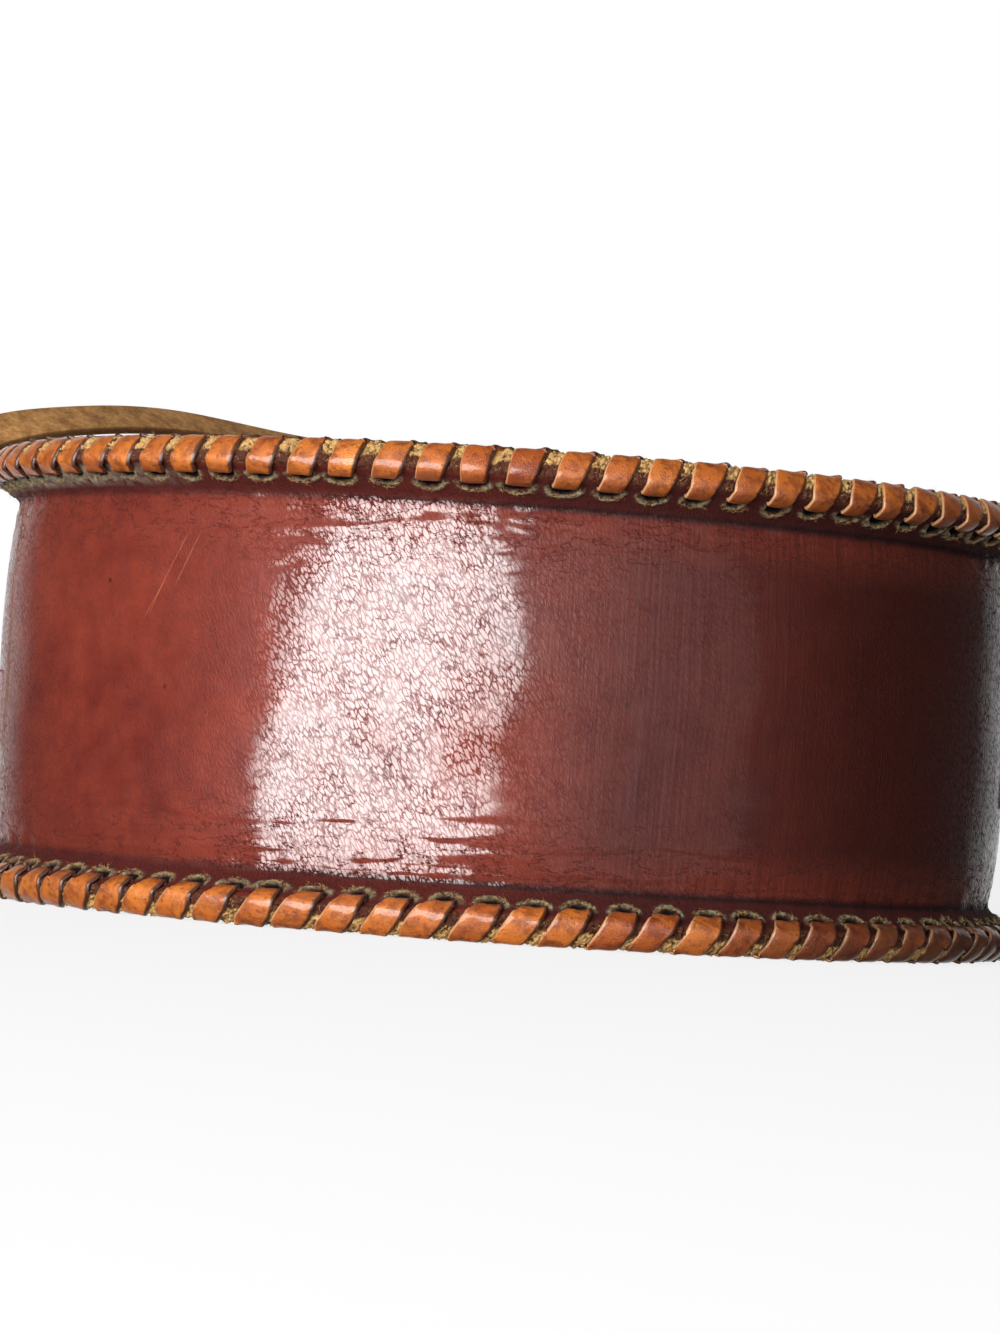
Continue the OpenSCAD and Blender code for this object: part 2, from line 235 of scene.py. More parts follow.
# %% [markdown]
# ## The outline in numbers
# Seen from above the collar is an egg with an open top: a throat arc, two long side arcs and two
# withers arcs that share tangents where they meet. Any point of the ring is then three numbers:
# `s` along the outline from the throat, `r` outside it and `z` above mid-depth, in millimetres.

# %% Outline
THROAT_R = 161.0
SIDE_R = 420.0
WITHERS_R = 75.0
HALF_GAP = 18.0
DEPTH = 140.0
TURN = math.acos((SIDE_R - THROAT_R) / (SIDE_R - WITHERS_R))
ARCH = (SIDE_R - WITHERS_R) * math.sin(TURN)
THROAT_Y = (THROAT_R - ARCH - WITHERS_R) / 2
WITHERS_Y = THROAT_Y + ARCH
SIDE_X = THROAT_R - SIDE_R
END = math.radians(90) - math.asin(HALF_GAP / WITHERS_R)
THROAT_LEN = THROAT_R * math.pi / 2
SIDE_LEN = SIDE_R * TURN
HALF_LEN = THROAT_LEN + SIDE_LEN + WITHERS_R * (END - TURN)
print("half outline, mm:", round(HALF_LEN, 1))


def place(s, r, z):
    """Points in metres for distance s along the outline, r outside it and z above mid-depth."""
    s, r, z = np.broadcast_arrays(np.asarray(s, float), r, z)
    a = np.abs(s)
    throat, side = a <= THROAT_LEN, a <= THROAT_LEN + SIDE_LEN
    radius = np.where(throat, THROAT_R, np.where(side, SIDE_R, WITHERS_R))
    angle = np.where(throat, a / THROAT_R - math.pi / 2, np.where(
        side, (a - THROAT_LEN) / SIDE_R, TURN + (a - THROAT_LEN - SIDE_LEN) / WITHERS_R))
    centre_x = np.where(throat | ~side, 0.0, SIDE_X)
    centre_y = np.where(side, THROAT_Y, WITHERS_Y)
    x = centre_x + (radius + r) * np.cos(angle)
    y = centre_y + (radius + r) * np.sin(angle)
    return np.stack([np.where(s < 0, -x, x), y, z + DEPTH / 2], -1) * MM


# %% [markdown]
# ## Mesh from rings
# Nearly every leather piece here is a closed section carried along a line, so one helper turns an
# array of rings into a mesh, closes both ends and stores named values for the finish to read. It
# is quicker than a curve with a bevel, and every point stays under the script's control. Straps
# and laces share one section, a rectangle with rounded corners.

# %% Ring mesh
def add_mesh(name, points, faces, smooth=True):
    mesh = bpy.data.meshes.new(name)
    mesh.from_pydata(points, [], faces)
    if smooth:
        mesh.shade_smooth()
    piece = bpy.data.objects.new(name, mesh)
    scene.collection.objects.link(piece)
    return piece


def ring_faces(rings, around, start=0):
    """Walls between neighbouring rings and a cap at each end, for points numbered from start."""
    starts = start + np.arange(rings - 1)[:, None] * around
    first = starts + np.arange(around)
    second = starts + (np.arange(around) + 1) % around
    walls = np.stack([first, first + around, second + around, second], -1).reshape(-1, 4)
    last = start + rings * around - 1
    return walls.tolist() + [list(range(start, start + around)), list(range(last, last - around, -1))]


def ring_mesh(name, points, values=None):
    """points is rings x points-in-a-ring x 3, in metres. values maps a name to rings x points."""
    rings, around = points.shape[:2]
    piece = add_mesh(name, points.reshape(-1, 3).tolist(), ring_faces(rings, around))
    for key, value in (values or {}).items():
        stored = piece.data.attributes.new(key, "FLOAT", "POINT")
        stored.data.foreach_set("value", np.broadcast_to(value, (rings, around)).ravel().astype(float))
    return piece


def rounded_box(count, across_power, through_power):
    """Points round a rounded rectangle, from -1 to 1 across and through it. Low powers are squarer."""
    angle = np.arange(count) / count * 2 * math.pi
    waves = ((np.cos(angle), across_power), (np.sin(angle), through_power))
    return [np.sign(wave) * np.abs(wave) ** power for wave, power in waves]


def dress(piece, material):
    piece.data.materials.clear()
    piece.data.materials.append(material)


def finish_piece(piece, material, slot, *nodes):
    """Gives a piece its material and its body, and hides the nodes it stands for. slot is not used."""
    dress(piece, material)
    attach(piece, "collar")
    if nodes:
        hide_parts(*nodes)
    print(piece.name, "points:", len(piece.data.vertices))


# %% [markdown]
# ## Unevenness
# Hand-stuffed leather is never true. A few sine waves with seeded directions and phases give a
# smooth, repeatable unevenness that works on whole arrays at once.

# %% Ripple
def ripple(seed, first, second, first_len, second_len, waves=9):
    """Smooth unevenness between about -1 and 1 over two coordinates, in millimetres."""
    draw = np.random.default_rng(seed)
    total = 0
    for _ in range(waves):
        pull = draw.uniform(0.5, 1.5, 2) * draw.choice([-1, 1], 2)
        phase = draw.uniform(0, 2 * math.pi)
        total = total + np.sin(first * pull[0] * 2 * math.pi / first_len
                               + second * pull[1] * 2 * math.pi / second_len + phase)
    return total / math.sqrt(waves) * 0.7


# %% [markdown]
# ## The flared edge
# Both edges are a flare of three layers, cover, welt and lining. Places on it are `u` from the
# root to the tip and `v` through the layers, and `flare` turns them into `r` and `z`. The lace
# turns are spread evenly along the whole outline, so everything at a stitch finds its place from
# the distance to the nearest turn.

# %% Flare
FLARE = math.radians(38)
FLARE_W = 13.5
LEATHER_W = FLARE_W - 1
COVER_T, WELT_T, LINING_T = 2.6, 2.4, 2.4
STACK_T = COVER_T + WELT_T + LINING_T
LACE_T, LACE_W, LACE_CLEAR, LACE_PITCH = 1.5, 8.7, 0.1, 12.5
SLIT_U = 8.8
CROWN = 3.0
LACED_T = STACK_T + LACE_T + LACE_CLEAR
GROOVE_Z = DEPTH / 2 - (FLARE_W + 0.5) * math.sin(FLARE) - LACED_T * math.cos(FLARE)
TURNS = math.floor((2 * HALF_LEN - LACE_W) / LACE_PITCH) - 1
FIRST_TURN = -TURNS * LACE_PITCH / 2
EDGES = {"front": 1, "back": -1}
HANDS = {"right": 1, "left": -1}
print("lace turns on each edge:", TURNS)


def crown(z):
    return -CROWN * (np.abs(z) / GROOVE_Z) ** 4


def flare(u, v):
    r = -CROWN + u * math.cos(FLARE) - v * math.sin(FLARE)
    z = GROOVE_Z + u * math.sin(FLARE) + v * math.cos(FLARE)
    return r, z


# %% Section lines
EASE_STEP = 0.2


def soft_line(corners, count, softness):
    """A polyline through corners, with every corner eased over softness, as count points."""
    corners = np.array(corners, float)
    run = np.r_[0, np.cumsum(np.linalg.norm(np.diff(corners, axis=0), axis=1))]
    fine = np.arange(0, run[-1], EASE_STEP)
    line = np.stack([np.interp(fine, run, corners[:, k]) for k in (0, 1)], -1)
    reach = np.arange(-3 * softness, 3 * softness + EASE_STEP / 2, EASE_STEP)
    weight = np.exp(-(reach / softness) ** 2 / 2)
    pad = len(reach) // 2
    ends = [2 * line[0] - line[pad:0:-1], line, 2 * line[-1] - line[-2:-pad - 2:-1]]
    padded = np.concatenate(ends)
    eased = np.stack([np.convolve(padded[:, k], weight / weight.sum(), "valid") for k in (0, 1)], -1)
    wanted = np.linspace(0, fine[-1], count)
    return np.stack([np.interp(wanted, fine, eased[:len(fine), k]) for k in (0, 1)], -1)


def normals_of(line):
    """Unit normals in the section plane, on the right-hand side of the line's run."""
    run = np.gradient(line, axis=0)
    run /= np.linalg.norm(run, axis=1, keepdims=True)
    return np.stack([run[:, 1], -run[:, 0]], -1)


def across_stitch(s, share, side):
    """Signed distance along s to the nearest lace turn, at that share of its round."""
    along = side * s - FIRST_TURN - share * LACE_PITCH
    return (along / LACE_PITCH - np.round(along / LACE_PITCH)) * LACE_PITCH


# %% [markdown]
# ## Outer cover
# The cover is one wide band of harness leather, nearly flat across and turned out hard at both
# edges. It could be a lofted curve, but the lacing shapes it: every stitch pinches the flare, opens
# its slit into a pit with a raised lip and throws a short pucker onto the band. So it is a dense
# grid, and each of these is a push along the section's normal worked out from the distance to the
# nearest stitch. Long sagging wrinkles and one slow swell follow, which a gloss shows at once:
# the swell is under 3 mm high and bends a straight reflection into a curved one.

# %% Cover section
S_STEP = 1.1
COVER_POINTS = 190
PIT_U, PIT_W, PIT_H = SLIT_U - 1.3, 4.2, 3.1
PIT_DEPTH, LIP_HEIGHT, PINCH, PUCKER = 1.7, 0.6, 0.45, 0.14
INSIDE_U = 20.0
cover_s = np.linspace(-HALF_LEN, HALF_LEN, int(2 * HALF_LEN / S_STEP))
print("cover grid:", len(cover_s), "x", COVER_POINTS)


def cover_outside():
    upper = [(crown(z), z) for z in np.linspace(0, GROOVE_Z, 14)]
    upper.append(flare(LEATHER_W, 0))
    lower = [(r, -z) for r, z in upper[:0:-1]]
    return soft_line(lower + upper, COVER_POINTS, 1.3)


def ease(t):
    t = np.clip(t, 0, 1)
    return t * t * (3 - 2 * t)


def edge_values(line):
    """u along the flare, negative down the band, and which edge each point belongs to."""
    root = np.abs(line[:, 1]) - GROOVE_Z
    u = root / math.sin(FLARE)
    u = np.where(root < 0, root, u)
    return u, np.sign(line[:, 1])


# %% Slits
SPARE = 4
SLIT_DRAW = np.random.default_rng(9).normal(0, 1, (3, 2 * TURNS + 2 * SPARE + 1))


def slit_masks(s, u, side):
    """The pit under each stitch and the lip round its lower half, both 0 to 1."""
    nearest = np.round((side * s - FIRST_TURN) / LACE_PITCH).astype(int)
    own = SLIT_DRAW[:, nearest + TURNS * (side < 0) + SPARE]
    on_lace = across_stitch(s, 0.0, side) + 0.35 * own[0]
    ragged = 0.09 * ripple(8, s, u, 2.6, 3.1)
    away = np.sqrt((on_lace / PIT_W / (1 + 0.1 * own[1])) ** 2
                   + ((u - PIT_U) / PIT_H / (1 + 0.12 * own[2])) ** 2) + ragged
    pit = 1 - ease((away - 0.6) / 0.28)
    lip = np.exp(-((away - 1.02) / 0.15) ** 2) * (1 - ease((u - PIT_U - 0.2) / 1.2))
    return pit, lip


# %% Wrinkles and swell
# Long sagging wrinkles: middle along s, height there, half length, sag over that length, depth
WRINKLES = [(-62, 47, 46, 5.5, 0.34), (-30, 43, 40, 4.0, 0.30), (-78, 38, 34, 5.0, 0.24),
            (-8, 36, 30, 3.0, 0.16), (40, 46, 46, 3.0, 0.22), (-50, -44, 50, -4.0, 0.30),
            (-15, -39, 36, -3.0, 0.20), (60, -45, 50, -3.0, 0.24), (110, 44, 40, 3.0, 0.20),
            (-120, 45, 36, 3.0, 0.22), (-118, -42, 40, -3.0, 0.22)]
print("wrinkles:", len(WRINKLES))
SWELL_S, SWELL_Z, SWELL_SLOPE, SWELL_LEN, SWELL_H = -30, 2, 0.024, 140, 17
CREASE_S, CREASE_Z, CREASE_DEPTH = -12, -4, 0.12


def wrinkle_push(s, z):
    push = 0
    for middle, height, half, sag, depth in WRINKLES:
        along = (s - middle) / half
        line = height - sag * (1 - np.minimum(along ** 2, 1.5)) + 0.7 * np.sin(along * 7 + middle)
        push = push + 0.6 * depth * np.exp(-along ** 4) * (
            0.6 * np.exp(-((z - line - 2.2) / 1.8) ** 2) - np.exp(-((z - line) / 0.8) ** 2))
    return push


def swell_push(s, z):
    """A slow swell at mid-height that sinks on the left of its middle and rises on the right."""
    off = s - SWELL_S
    return SWELL_SLOPE * off * np.exp(-(off / SWELL_LEN) ** 4) * np.exp(-((z - SWELL_Z) / SWELL_H) ** 2)


def crease_push(s, z):
    """One short upright crease, leaning a little."""
    up = z - CREASE_Z
    return -CREASE_DEPTH * np.exp(-((s - CREASE_S + 0.2 * up) / 2.2) ** 2 - (up / 7) ** 4)


# %% Cover form
def cover_push(s, u, side, z):
    """How far the leather stands out at each point, in millimetres."""
    pit, lip = slit_masks(s, u, side)
    on_lace = across_stitch(s, 0.05, side)
    wave = np.cos(2 * math.pi * on_lace / LACE_PITCH)
    pinch = -PINCH * (0.5 + 0.5 * wave) * np.exp(-((u - 9) / 4) ** 2)
    pucker = -PUCKER * wave * np.exp(-((u + 1.5) / 3.2) ** 2)
    near_edge = np.exp(np.minimum(u, 0) / 13) * (u < 0)
    rolling = ripple(3, s, z, 70, 7.5)
    folds = (0.16 * rolling - 0.2 * np.exp(-(rolling / 0.16) ** 2)) * near_edge
    body = 0.2 * ripple(5, s, z, 80, 60) + 0.012 * ripple(6, s, z, 16, 12)
    at_stitches = -PIT_DEPTH * pit + LIP_HEIGHT * lip + pinch + pucker
    return at_stitches + folds + body + swell_push(s, z) + crease_push(s, z) + wrinkle_push(s, z)


def make_cover():
    line = cover_outside()
    u, side = edge_values(line)
    s = cover_s[:, None]
    push = cover_push(s, u[None, :], side[None, :], line[None, :, 1])
    pit, lip = slit_masks(s, u[None, :], side[None, :])
    out = normals_of(line)
    outer = line[None] + push[..., None] * out[None]
    inner = (line - out * COVER_T)[::-4]
    inner = np.broadcast_to(inner[None], (len(cover_s),) + inner.shape)
    section = np.concatenate([outer, inner], 1)
    values = {"along": s, "rise": section[..., 1]}
    for key, value, inside in (("flare_u", u[None, :], INSIDE_U), ("pit", pit, 0), ("lip", lip, 0)):
        shown = np.broadcast_to(value, outer.shape[:2])
        values[key] = np.concatenate([shown, np.full(inner.shape[:2], inside)], 1)
    return ring_mesh("cover_leather_band", place(s, section[..., 0], section[..., 1]), values)


cover = make_cover()
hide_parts("outer_cover")
print("cover: slit every", LACE_PITCH, "mm, turns", TURNS)

# %% [markdown]
# ## Cover finish
# Old harness leather is oxblood under wax: a patchy red that wear has lightened, a crackled grain
# that breaks the highlight, and a clear coat. A crack is lower and duller than the skin round it,
# so one pattern feeds bump, colour and roughness, and thins the coat as well; the dark colour in
# the cracks and creases is painted shade. Towards the right the colour is painted darker, as
# painted shade where the band turns from the light, and upright strands there carry a painted
# mauve sheen. A strip on the left and a patch near the middle are dulled by handling, which draws
# in the highlight's borders there.

# %% Band marks
SCRATCHES = [(-108, 30, 0.55, 26), (-101, 34, 0.5, 17), (-113, 22, 0.7, 12)]


def handled_places(made, along, rise):
    """Where hands have dulled the wax: a slanting strip on the left and a patch near the middle."""
    slant = along - rise * 0.24 + made.noise(60, 4, 0.65) * 12 - 6
    strip = (1 - slant.above(-72.0, -60.0)) * slant.above(-94.0, -84.0)
    patch = along.above(-20.0, -6.0) * (1 - along.above(10.0, 24.0)) * rise.near(-8.0, 42.0)
    mottled = made.noise(80, 5, 0.7).above(0.35, 0.6) * 0.5 + 0.5
    return strip * 1.1 + patch * mottled * 0.6


def band_marks(made, base, height, rough):
    """What only the wide band has. Returns colour, height, roughness and how cracked it is."""
    along, rise, u = made.attribute("along"), made.attribute("rise"), made.attribute("flare_u")
    deeper = made.noise(110, 5, 0.65).above(0.36, 0.62) * 0.5 + 0.5
    net = (1 - made.cells(1.0, vector=made.laid(1.25, 2.6, 0.55, 1.3)).above(0.0, 0.19)) * deeper
    near_edges = rise.size().above(24.0, 46.0)
    creases = made.noise(1.0, 4, 0.6, vector=made.laid(15.0, 5.0, 0.0, 0.4)).near(0.5, 0.022) * near_edges
    strands = made.noise(1.0, 4, 0.65, vector=made.laid(0.9, 40.0))
    far = 1 - along.above(240.0, 330.0)
    right, streaky = along.above(5.0, 70.0) * far, along.above(-32.0, 8.0) * far
    smudges = made.noise(17, 3, 0.5).above(0.54, 0.66) * right
    under = u.above(-16.0, -5.0) * (1 - u.above(-2.5, -0.5)) * strands.above(0.3, 0.6)
    light = sum(made.scratch(*line) for line in SCRATCHES).clamped()
    gouge = made.scratch(-47.5, -13.5, -2.6, 5, 0.9)
    rubbed = along.near(-16.0, 46.0) * rise.near(-18.0, 17.0) * made.noise(70, 5, 0.7).above(0.4, 0.62)
    # Painted shade: the two darkenings towards the right, where the band turns from the light. Painted sheen:
    # the mauve on the strands. The smudges, scratches and gouge are marks of its own.
    base = stained(
        base, (along.above(-15.0, 40.0) * far * 0.68, 52, 17, 11),
        (along.above(75.0, 115.0) * far * 0.75, 58, 14, 4),
        (along.near(38.0, 55.0) * strands.above(0.42, 0.64) * 0.5, 104, 64, 66),
        (smudges * 0.35, 34, 20, 20), (under * 0.6, 122, 46, 26),
        # Painted shade in the cracks and creases.
        ((net * 0.4 + creases * 0.5).clamped(), 50, 15, 13),
        (light * 0.5, 204, 122, 84), (gouge * 0.8, 26, 10, 10))
    height = height - net * 0.6 - creases * 0.9 + strands * streaky * 1.8 - gouge
    rough = rough + net * 0.45 + rubbed * 0.25 + creases * 0.3 + under * 0.2
    rough = rough + right * strands.above(0.35, 0.65) * 0.12
    cracked = net * 1.6 + creases + under * 0.4 + rubbed * 0.75 + handled_places(made, along, rise)
    return base, height, rough, cracked + strands.above(0.42, 0.6) * streaky * 0.4


# %% [markdown]
# ## Edges of the cover
# At the edges the leather shows how it was worked. The cut rim is dyed like the face, with raw tan
# in its breaks. The flare's underside is painted dark as shade and a darker line of painted shade
# lies in the groove, dust sits on the upper left flare where nobody wipes, and each slit is a pit
# painted near black with its shadow, round which lies a scuffed pale lip.

# %% Edge marks
def edge_marks(made, base, height, rough, raw):
    """Rim, painted flare and groove shade, dust and slits with painted shadow. Returns colour, height,
    roughness and how dull it all is.
    """
    along, u, pit = made.attribute("along"), made.attribute("flare_u"), made.attribute("pit")
    fibre = made.noise(900, 6, 0.7)
    bare = (u + made.noise(520, 5, 0.7) * 3 - 1.5).above(11.0, 12.2)
    base = blend(bare, base, blend(fibre.above(0.45, 0.75), (70, 22, 16), raw))
    shade = u.above(-3.0, 1.0) * (1 - u.above(10.0, 12.0))
    groove_shade = u.near(-0.5, 1.7) * (along.above(-90.0, 0.0) * 0.5 + 0.4)
    upper_left = (1 - along.above(-150.0, -96.0)) * made.attribute("rise").above(0.0, 1.0)
    dust = u.above(1.0, 4.0) * (1 - u.above(9.5, 11.5)) * upper_left
    dust = dust * made.noise(300, 5, 0.75).above(0.38, 0.56)
    # Painted shade on the flare's underside and along the groove; the dust is real.
    base = stained(base, (shade * 0.75, 60, 14, 12), (groove_shade, 26, 7, 6), (dust * 0.85, 150, 143, 124))
    lip = (made.attribute("lip") * 1.5).clamped() * made.noise(520, 5, 0.8).above(0.42, 0.52)
    scuffed = blend(fibre.above(0.4, 0.6), (96, 92, 62), (158, 146, 116))
    # The near-black over each pit is painted shadow.
    base = stained(blend(lip, base, scuffed), (pit.above(0.1, 0.5), 6, 4, 3))
    rough = rough + bare * 0.45 + lip * 0.5 + shade * 0.3 + dust * 0.4 + pit * 0.5
    return base, height + (bare + lip) * fibre * 2.0, rough.clamped(), bare + lip + pit + shade


# %% Cover leather
def harness_leather(name, deep, worn, raw=None):
    """Waxed leather. With a raw colour it also gets the marks of the wide band and its edges."""
    made = Finish(name, {"Coat Roughness": 0.12, "Coat IOR": 1.9, "IOR": 1.5, "Specular IOR Level": 0.28})
    patches = made.noise(14, 5, 0.6)
    mottling = made.noise(120, 5, 0.65)
    crackle = made.cells(800, vector=made.pushed(330, 0.0016)).above(0.03, 0.25)
    tone = (patches.above(0.34, 0.68) * 0.5 + mottling.above(0.35, 0.75) * 0.35 + 0.1).clamped()
    streaks = made.noise(34, 6, 0.75, vector=made.stretched((1.0, 1.0, 7.0)))
    scuffs = streaks.above(0.64, 0.7) * mottling.above(0.45, 0.7)
    specks = 1 - made.cells(60, "F1").above(0.03, 0.06)
    base = stained(blend(tone, deep, worn), (scuffs * 0.4, 170, 104, 84), (specks * 0.7, 26, 10, 10))
    height = crackle * 0.15 + mottling * 0.7 - scuffs * 0.3
    rough = 0.22 + mottling * 0.1 + (1 - crackle) * 0.1 + scuffs * 0.15
    if raw:
        base, height, rough, cracked = band_marks(made, base, height, rough)
        base, height, rough, dull = edge_marks(made, base, height, rough, raw)
        made.set("Coat Weight", (1 - (dull + cracked * 0.6).clamped()) * 0.95)
    else:
        made.shader.inputs["Coat Weight"].default_value = 0.5
    return made.done(base, rough, height, 0.1)


RAW_TAN = (158, 108, 54)
COVER_LEATHER = harness_leather("waxed_oxblood_leather", (88, 22, 19), (152, 62, 42), RAW_TAN)
PLAIN_LEATHER = harness_leather("oxblood_strap_leather", (66, 18, 18), (122, 48, 38))
finish_piece(cover, COVER_LEATHER, "cover_leather")

# %% [markdown]
# ## Neck lining
# The lining is softer leather over hard-packed straw: it rolls from the flared edge over the face
# and down the neck side in one full curve. It is the same kind of grid as the cover, with longer
# swells where the stuffing was driven in, and it grows thinner towards the withers.

# %% Lining form
THROAT_PAD, DRAFT_PAD, WITHERS_PAD = 46.5, 50.0, 38.0
LINING_POINTS, LINING_RINGS = 120, 420
FACE_Z = GROOVE_Z + STACK_T * math.cos(FLARE) + COVER_T / 2
FACE = [(1.0, 0.25), (0.97, 0.628), (0.88, 0.843), (0.73, 0.958), (0.52, 1.0), (0.30, 0.99)]
print("lining stands out to, mm from mid-depth:", round(FACE_Z, 1))


def padding(s):
    t = np.abs(s) / HALF_LEN
    return (THROAT_PAD + (DRAFT_PAD - THROAT_PAD) * ease(t / 0.6)
            + (WITHERS_PAD - DRAFT_PAD) * ease((t - 0.6) / 0.32))


# %% Lining mesh
def make_lining():
    lining_s = np.linspace(-HALF_LEN, HALF_LEN, LINING_RINGS)
    rings = []
    for s in lining_s:
        upper = [(-share * padding(s), z * FACE_Z) for share, z in FACE]
        upper += [flare(-0.5, STACK_T), flare(LEATHER_W, STACK_T)]
        rings.append(soft_line([(r, -z) for r, z in upper[::-1]] + upper, LINING_POINTS, 2.2))
    rings = np.array(rings)
    out = -np.array([normals_of(line) for line in rings])
    s, z = lining_s[:, None], rings[..., 1]
    swell = 0.55 * ripple(11, s, rings[..., 0] + z, 85, 60)
    neck = np.clip(-rings[..., 0] / 46 - 0.4, 0, 1)
    gathers = 0.35 * ripple(12, s, z, 11, 90) * neck
    skin = rings + (swell + gathers - 0.5)[..., None] * out
    inner = (rings - (LINING_T * 0.95) * out)[:, ::-2]
    section = np.concatenate([skin, inner], 1)[:, ::-1]
    u = edge_values(rings.reshape(-1, 2))[0].reshape(rings.shape[:2]) - STACK_T * 1.28
    u = np.concatenate([u, np.full(inner.shape[:2], INSIDE_U)], 1)[:, ::-1]
    return ring_mesh("neck_lining_leather", place(s, section[..., 0], section[..., 1]), {"flare_u": u})


lining = make_lining()

# %% [markdown]
# ## Lining finish
# Neck leather is unwaxed and polished only by the animal, so it is browner and duller than the
# cover, with a broad mottling and no clear coat.

# %% Lining leather
def neck_leather(name, deep, worn, rim=False):
    made = Finish(name, {"IOR": 1.45})
    patches = made.noise(18, 5, 0.6)
    mottling = made.noise(210, 5, 0.65)
    pores = made.cells(900)
    tone = (patches.above(0.3, 0.7) * 0.8 + mottling.above(0.3, 0.8) * 0.3).clamped()
    base = stained(blend(tone, deep, worn), ((1 - pores.above(0, 0.14)) * 0.4, 40, 22, 14))
    if rim:
        bare = (made.attribute("flare_u") + made.noise(520, 5, 0.7) * 3 - 1.5).above(10.2, 11.4)
        fibre = made.noise(900, 6, 0.7)
        cut_edge = blend(fibre.above(0.35, 0.7), RAW_TAN, (222, 178, 110))
        base = blend(bare, base, cut_edge)
    return made.done(base, 0.48 + mottling * 0.25, pores.above(0, 0.2) * 0.6 + mottling * 0.8, 0.12)


LINING_LEATHER = neck_leather("neck_side_leather", (84, 46, 28), (132, 84, 52), rim=True)
PAD_LEATHER = neck_leather("pad_leather", (80, 42, 27), (126, 78, 50))
finish_piece(lining, LINING_LEATHER, "lining_leather", "neck_lining")

# %% [markdown]
# ## Welts and raw rim
# A strip of undyed leather lies between cover and lining at each edge. Between one stitch and the
# next the three cut edges swell out level with the lace and fray into one crumbly rim. A noise
# texture can't stand out at the silhouette, so the rim is a mesh whose points are dense in each
# gap, and each is pushed out or sunk by a random grain, which also paints shade into the sunk
# hollows. The cover's own third of the rim is dyed through.

# %% Raw leather
def raw_leather(name, grained=False):
    made = Finish(name, {"IOR": 1.4})
    fibre = made.noise(900, 7, 0.75)
    clumps = made.noise(240, 4, 0.6)
    base = blend(fibre.above(0.3, 0.7), (158, 112, 58), (226, 186, 122))
    base = stained(base, (clumps.above(0.56, 0.72) * 0.6, 120, 72, 34))
    if grained:
        # Painted shade in the sunk hollows of the rim.
        hollow_shade = 1 - made.attribute("grain").above(-0.95, -0.3)
        dyed = 1 - (made.attribute("depth") + clumps * 2.4 - 1.2).above(2.2, 2.9)
        base = stained(base, (hollow_shade * 0.8, 44, 22, 12), (dyed * 0.95, 72, 22, 16))
    return made.done(base, 0.82 + clumps * 0.1, fibre + clumps, 0.4)


RAW_LEATHER = raw_leather("raw_cut_leather")
RAW_RIM = raw_leather("frayed_cut_rim", grained=True)

# %% [markdown]
# ## The lean of the lace
# A lace never lies the same way all round. Pulled tight from one end, its turns lean more on one
# side of the collar than on the other, and differently on each edge. One turn is a list of places
# round the edge, and its progress along the edge is worked out from two leans, one gained on the
# cover's face and one over the tip. The rim and its fibres need the same leans, so that each gap
# lies between its two turns.

# %% Lean
# One turn of the lace as places (u, v). On the face and over the tip it gains the shares FACE_PART
# and TIP_PART of its leans, and on the way back WAY_BACK of what is left of its turn
ROUND = [(8.9, 0.6), (8.8, -0.4), (10.2, -0.78), (11.6, -0.82), (13.0, -0.6), (14.1, 0.6), (14.7, 3.7),
         (14.2, 6.9), (12.9, 8.35), (10.8, 8.5), (9.4, 8.3), (8.9, 7.5), (8.9, 3.9)]
FACE_PART = np.array((0, 0.08, 0.3, 0.5, 0.72, 1, 1, 1, 1))
TIP_PART = np.array((0, 0, 0, 0, 0, 0, 0.5, 1, 1.12))
WAY_BACK = np.array((0.25, 0.52, 0.76, 0.93))
FACE_LEAN, TIP_LEAN = {1: 0.13, -1: 0.25}, {1: 0.17, -1: 0.28}
FACE_CHANGE, TIP_CHANGE, WIDEST, LEAST_TIP = -0.15, 0.28, 0.75, 0.02


def lean_at(turn, side):
    """How far that turn moves on up to the tip and over the tip, in shares of a turn."""
    across = side * place(side * (FIRST_TURN + turn * LACE_PITCH), 0, 0)[..., 0] / (THROAT_R * MM)
    across = np.clip(across, -WIDEST, WIDEST)
    tip = np.maximum(TIP_LEAN[side] + TIP_CHANGE * across, LEAST_TIP)
    return FACE_LEAN[side] + FACE_CHANGE * across, tip


def shares_of(turn, side):
    face, tip = lean_at(turn, side)
    over = face * FACE_PART + tip * TIP_PART
    return np.r_[over, over[-1] + (1 - over[-1]) * WAY_BACK]


def gap_share(turn, v, side):
    """Where the gap after that turn lies at depth v, as a share of a turn."""
    face, tip = lean_at(turn + 0.5, side)
    return 0.5 + face + tip * np.interp(v, [point[1] for point in ROUND[5:9]], TIP_PART[5:])


for edge, side in EDGES.items():
    print(edge, "lean at the first and last turn:", lean_at(np.array((0, TURNS - 1)), side)[0].round(2))


# %% Welt and rim
WELT_RINGS, RIM_POINTS = 500, 26
RIM_FROM, RIM_DEEP, GAP_SHARE, GAP_RINGS = -0.4, 9.1, 0.36, 26
RIM_BACK_U, RIM_BACK_V = 11.0, np.array([7.0, 3.7, 0.4])
WELT_SECTION = [(0, 0.1), (8, 0.1), (12, 0.15), (12.8, 0.8), (12.8, 1.6), (12, 2.25), (8, 2.3), (0, 2.3)]


def make_welt(name, side):
    s = np.linspace(-HALF_LEN, HALF_LEN, WELT_RINGS)[:, None]
    u, v = np.array(WELT_SECTION).T[:, None]
    r, z = flare(u + 0 * s, v + COVER_T)
    return ring_mesh(name, place(s, r, side * z)[:, ::side])


def soft_grain(draw, shape):
    """Random grain, each point averaged with its neighbours."""
    grain = draw.normal(0, 1, shape)
    beside = np.roll(grain, 1, 0) + np.roll(grain, 1, 1) + np.roll(grain, (1, 1), (0, 1))
    return np.clip((grain + beside) / 2, -1.6, 1.6)


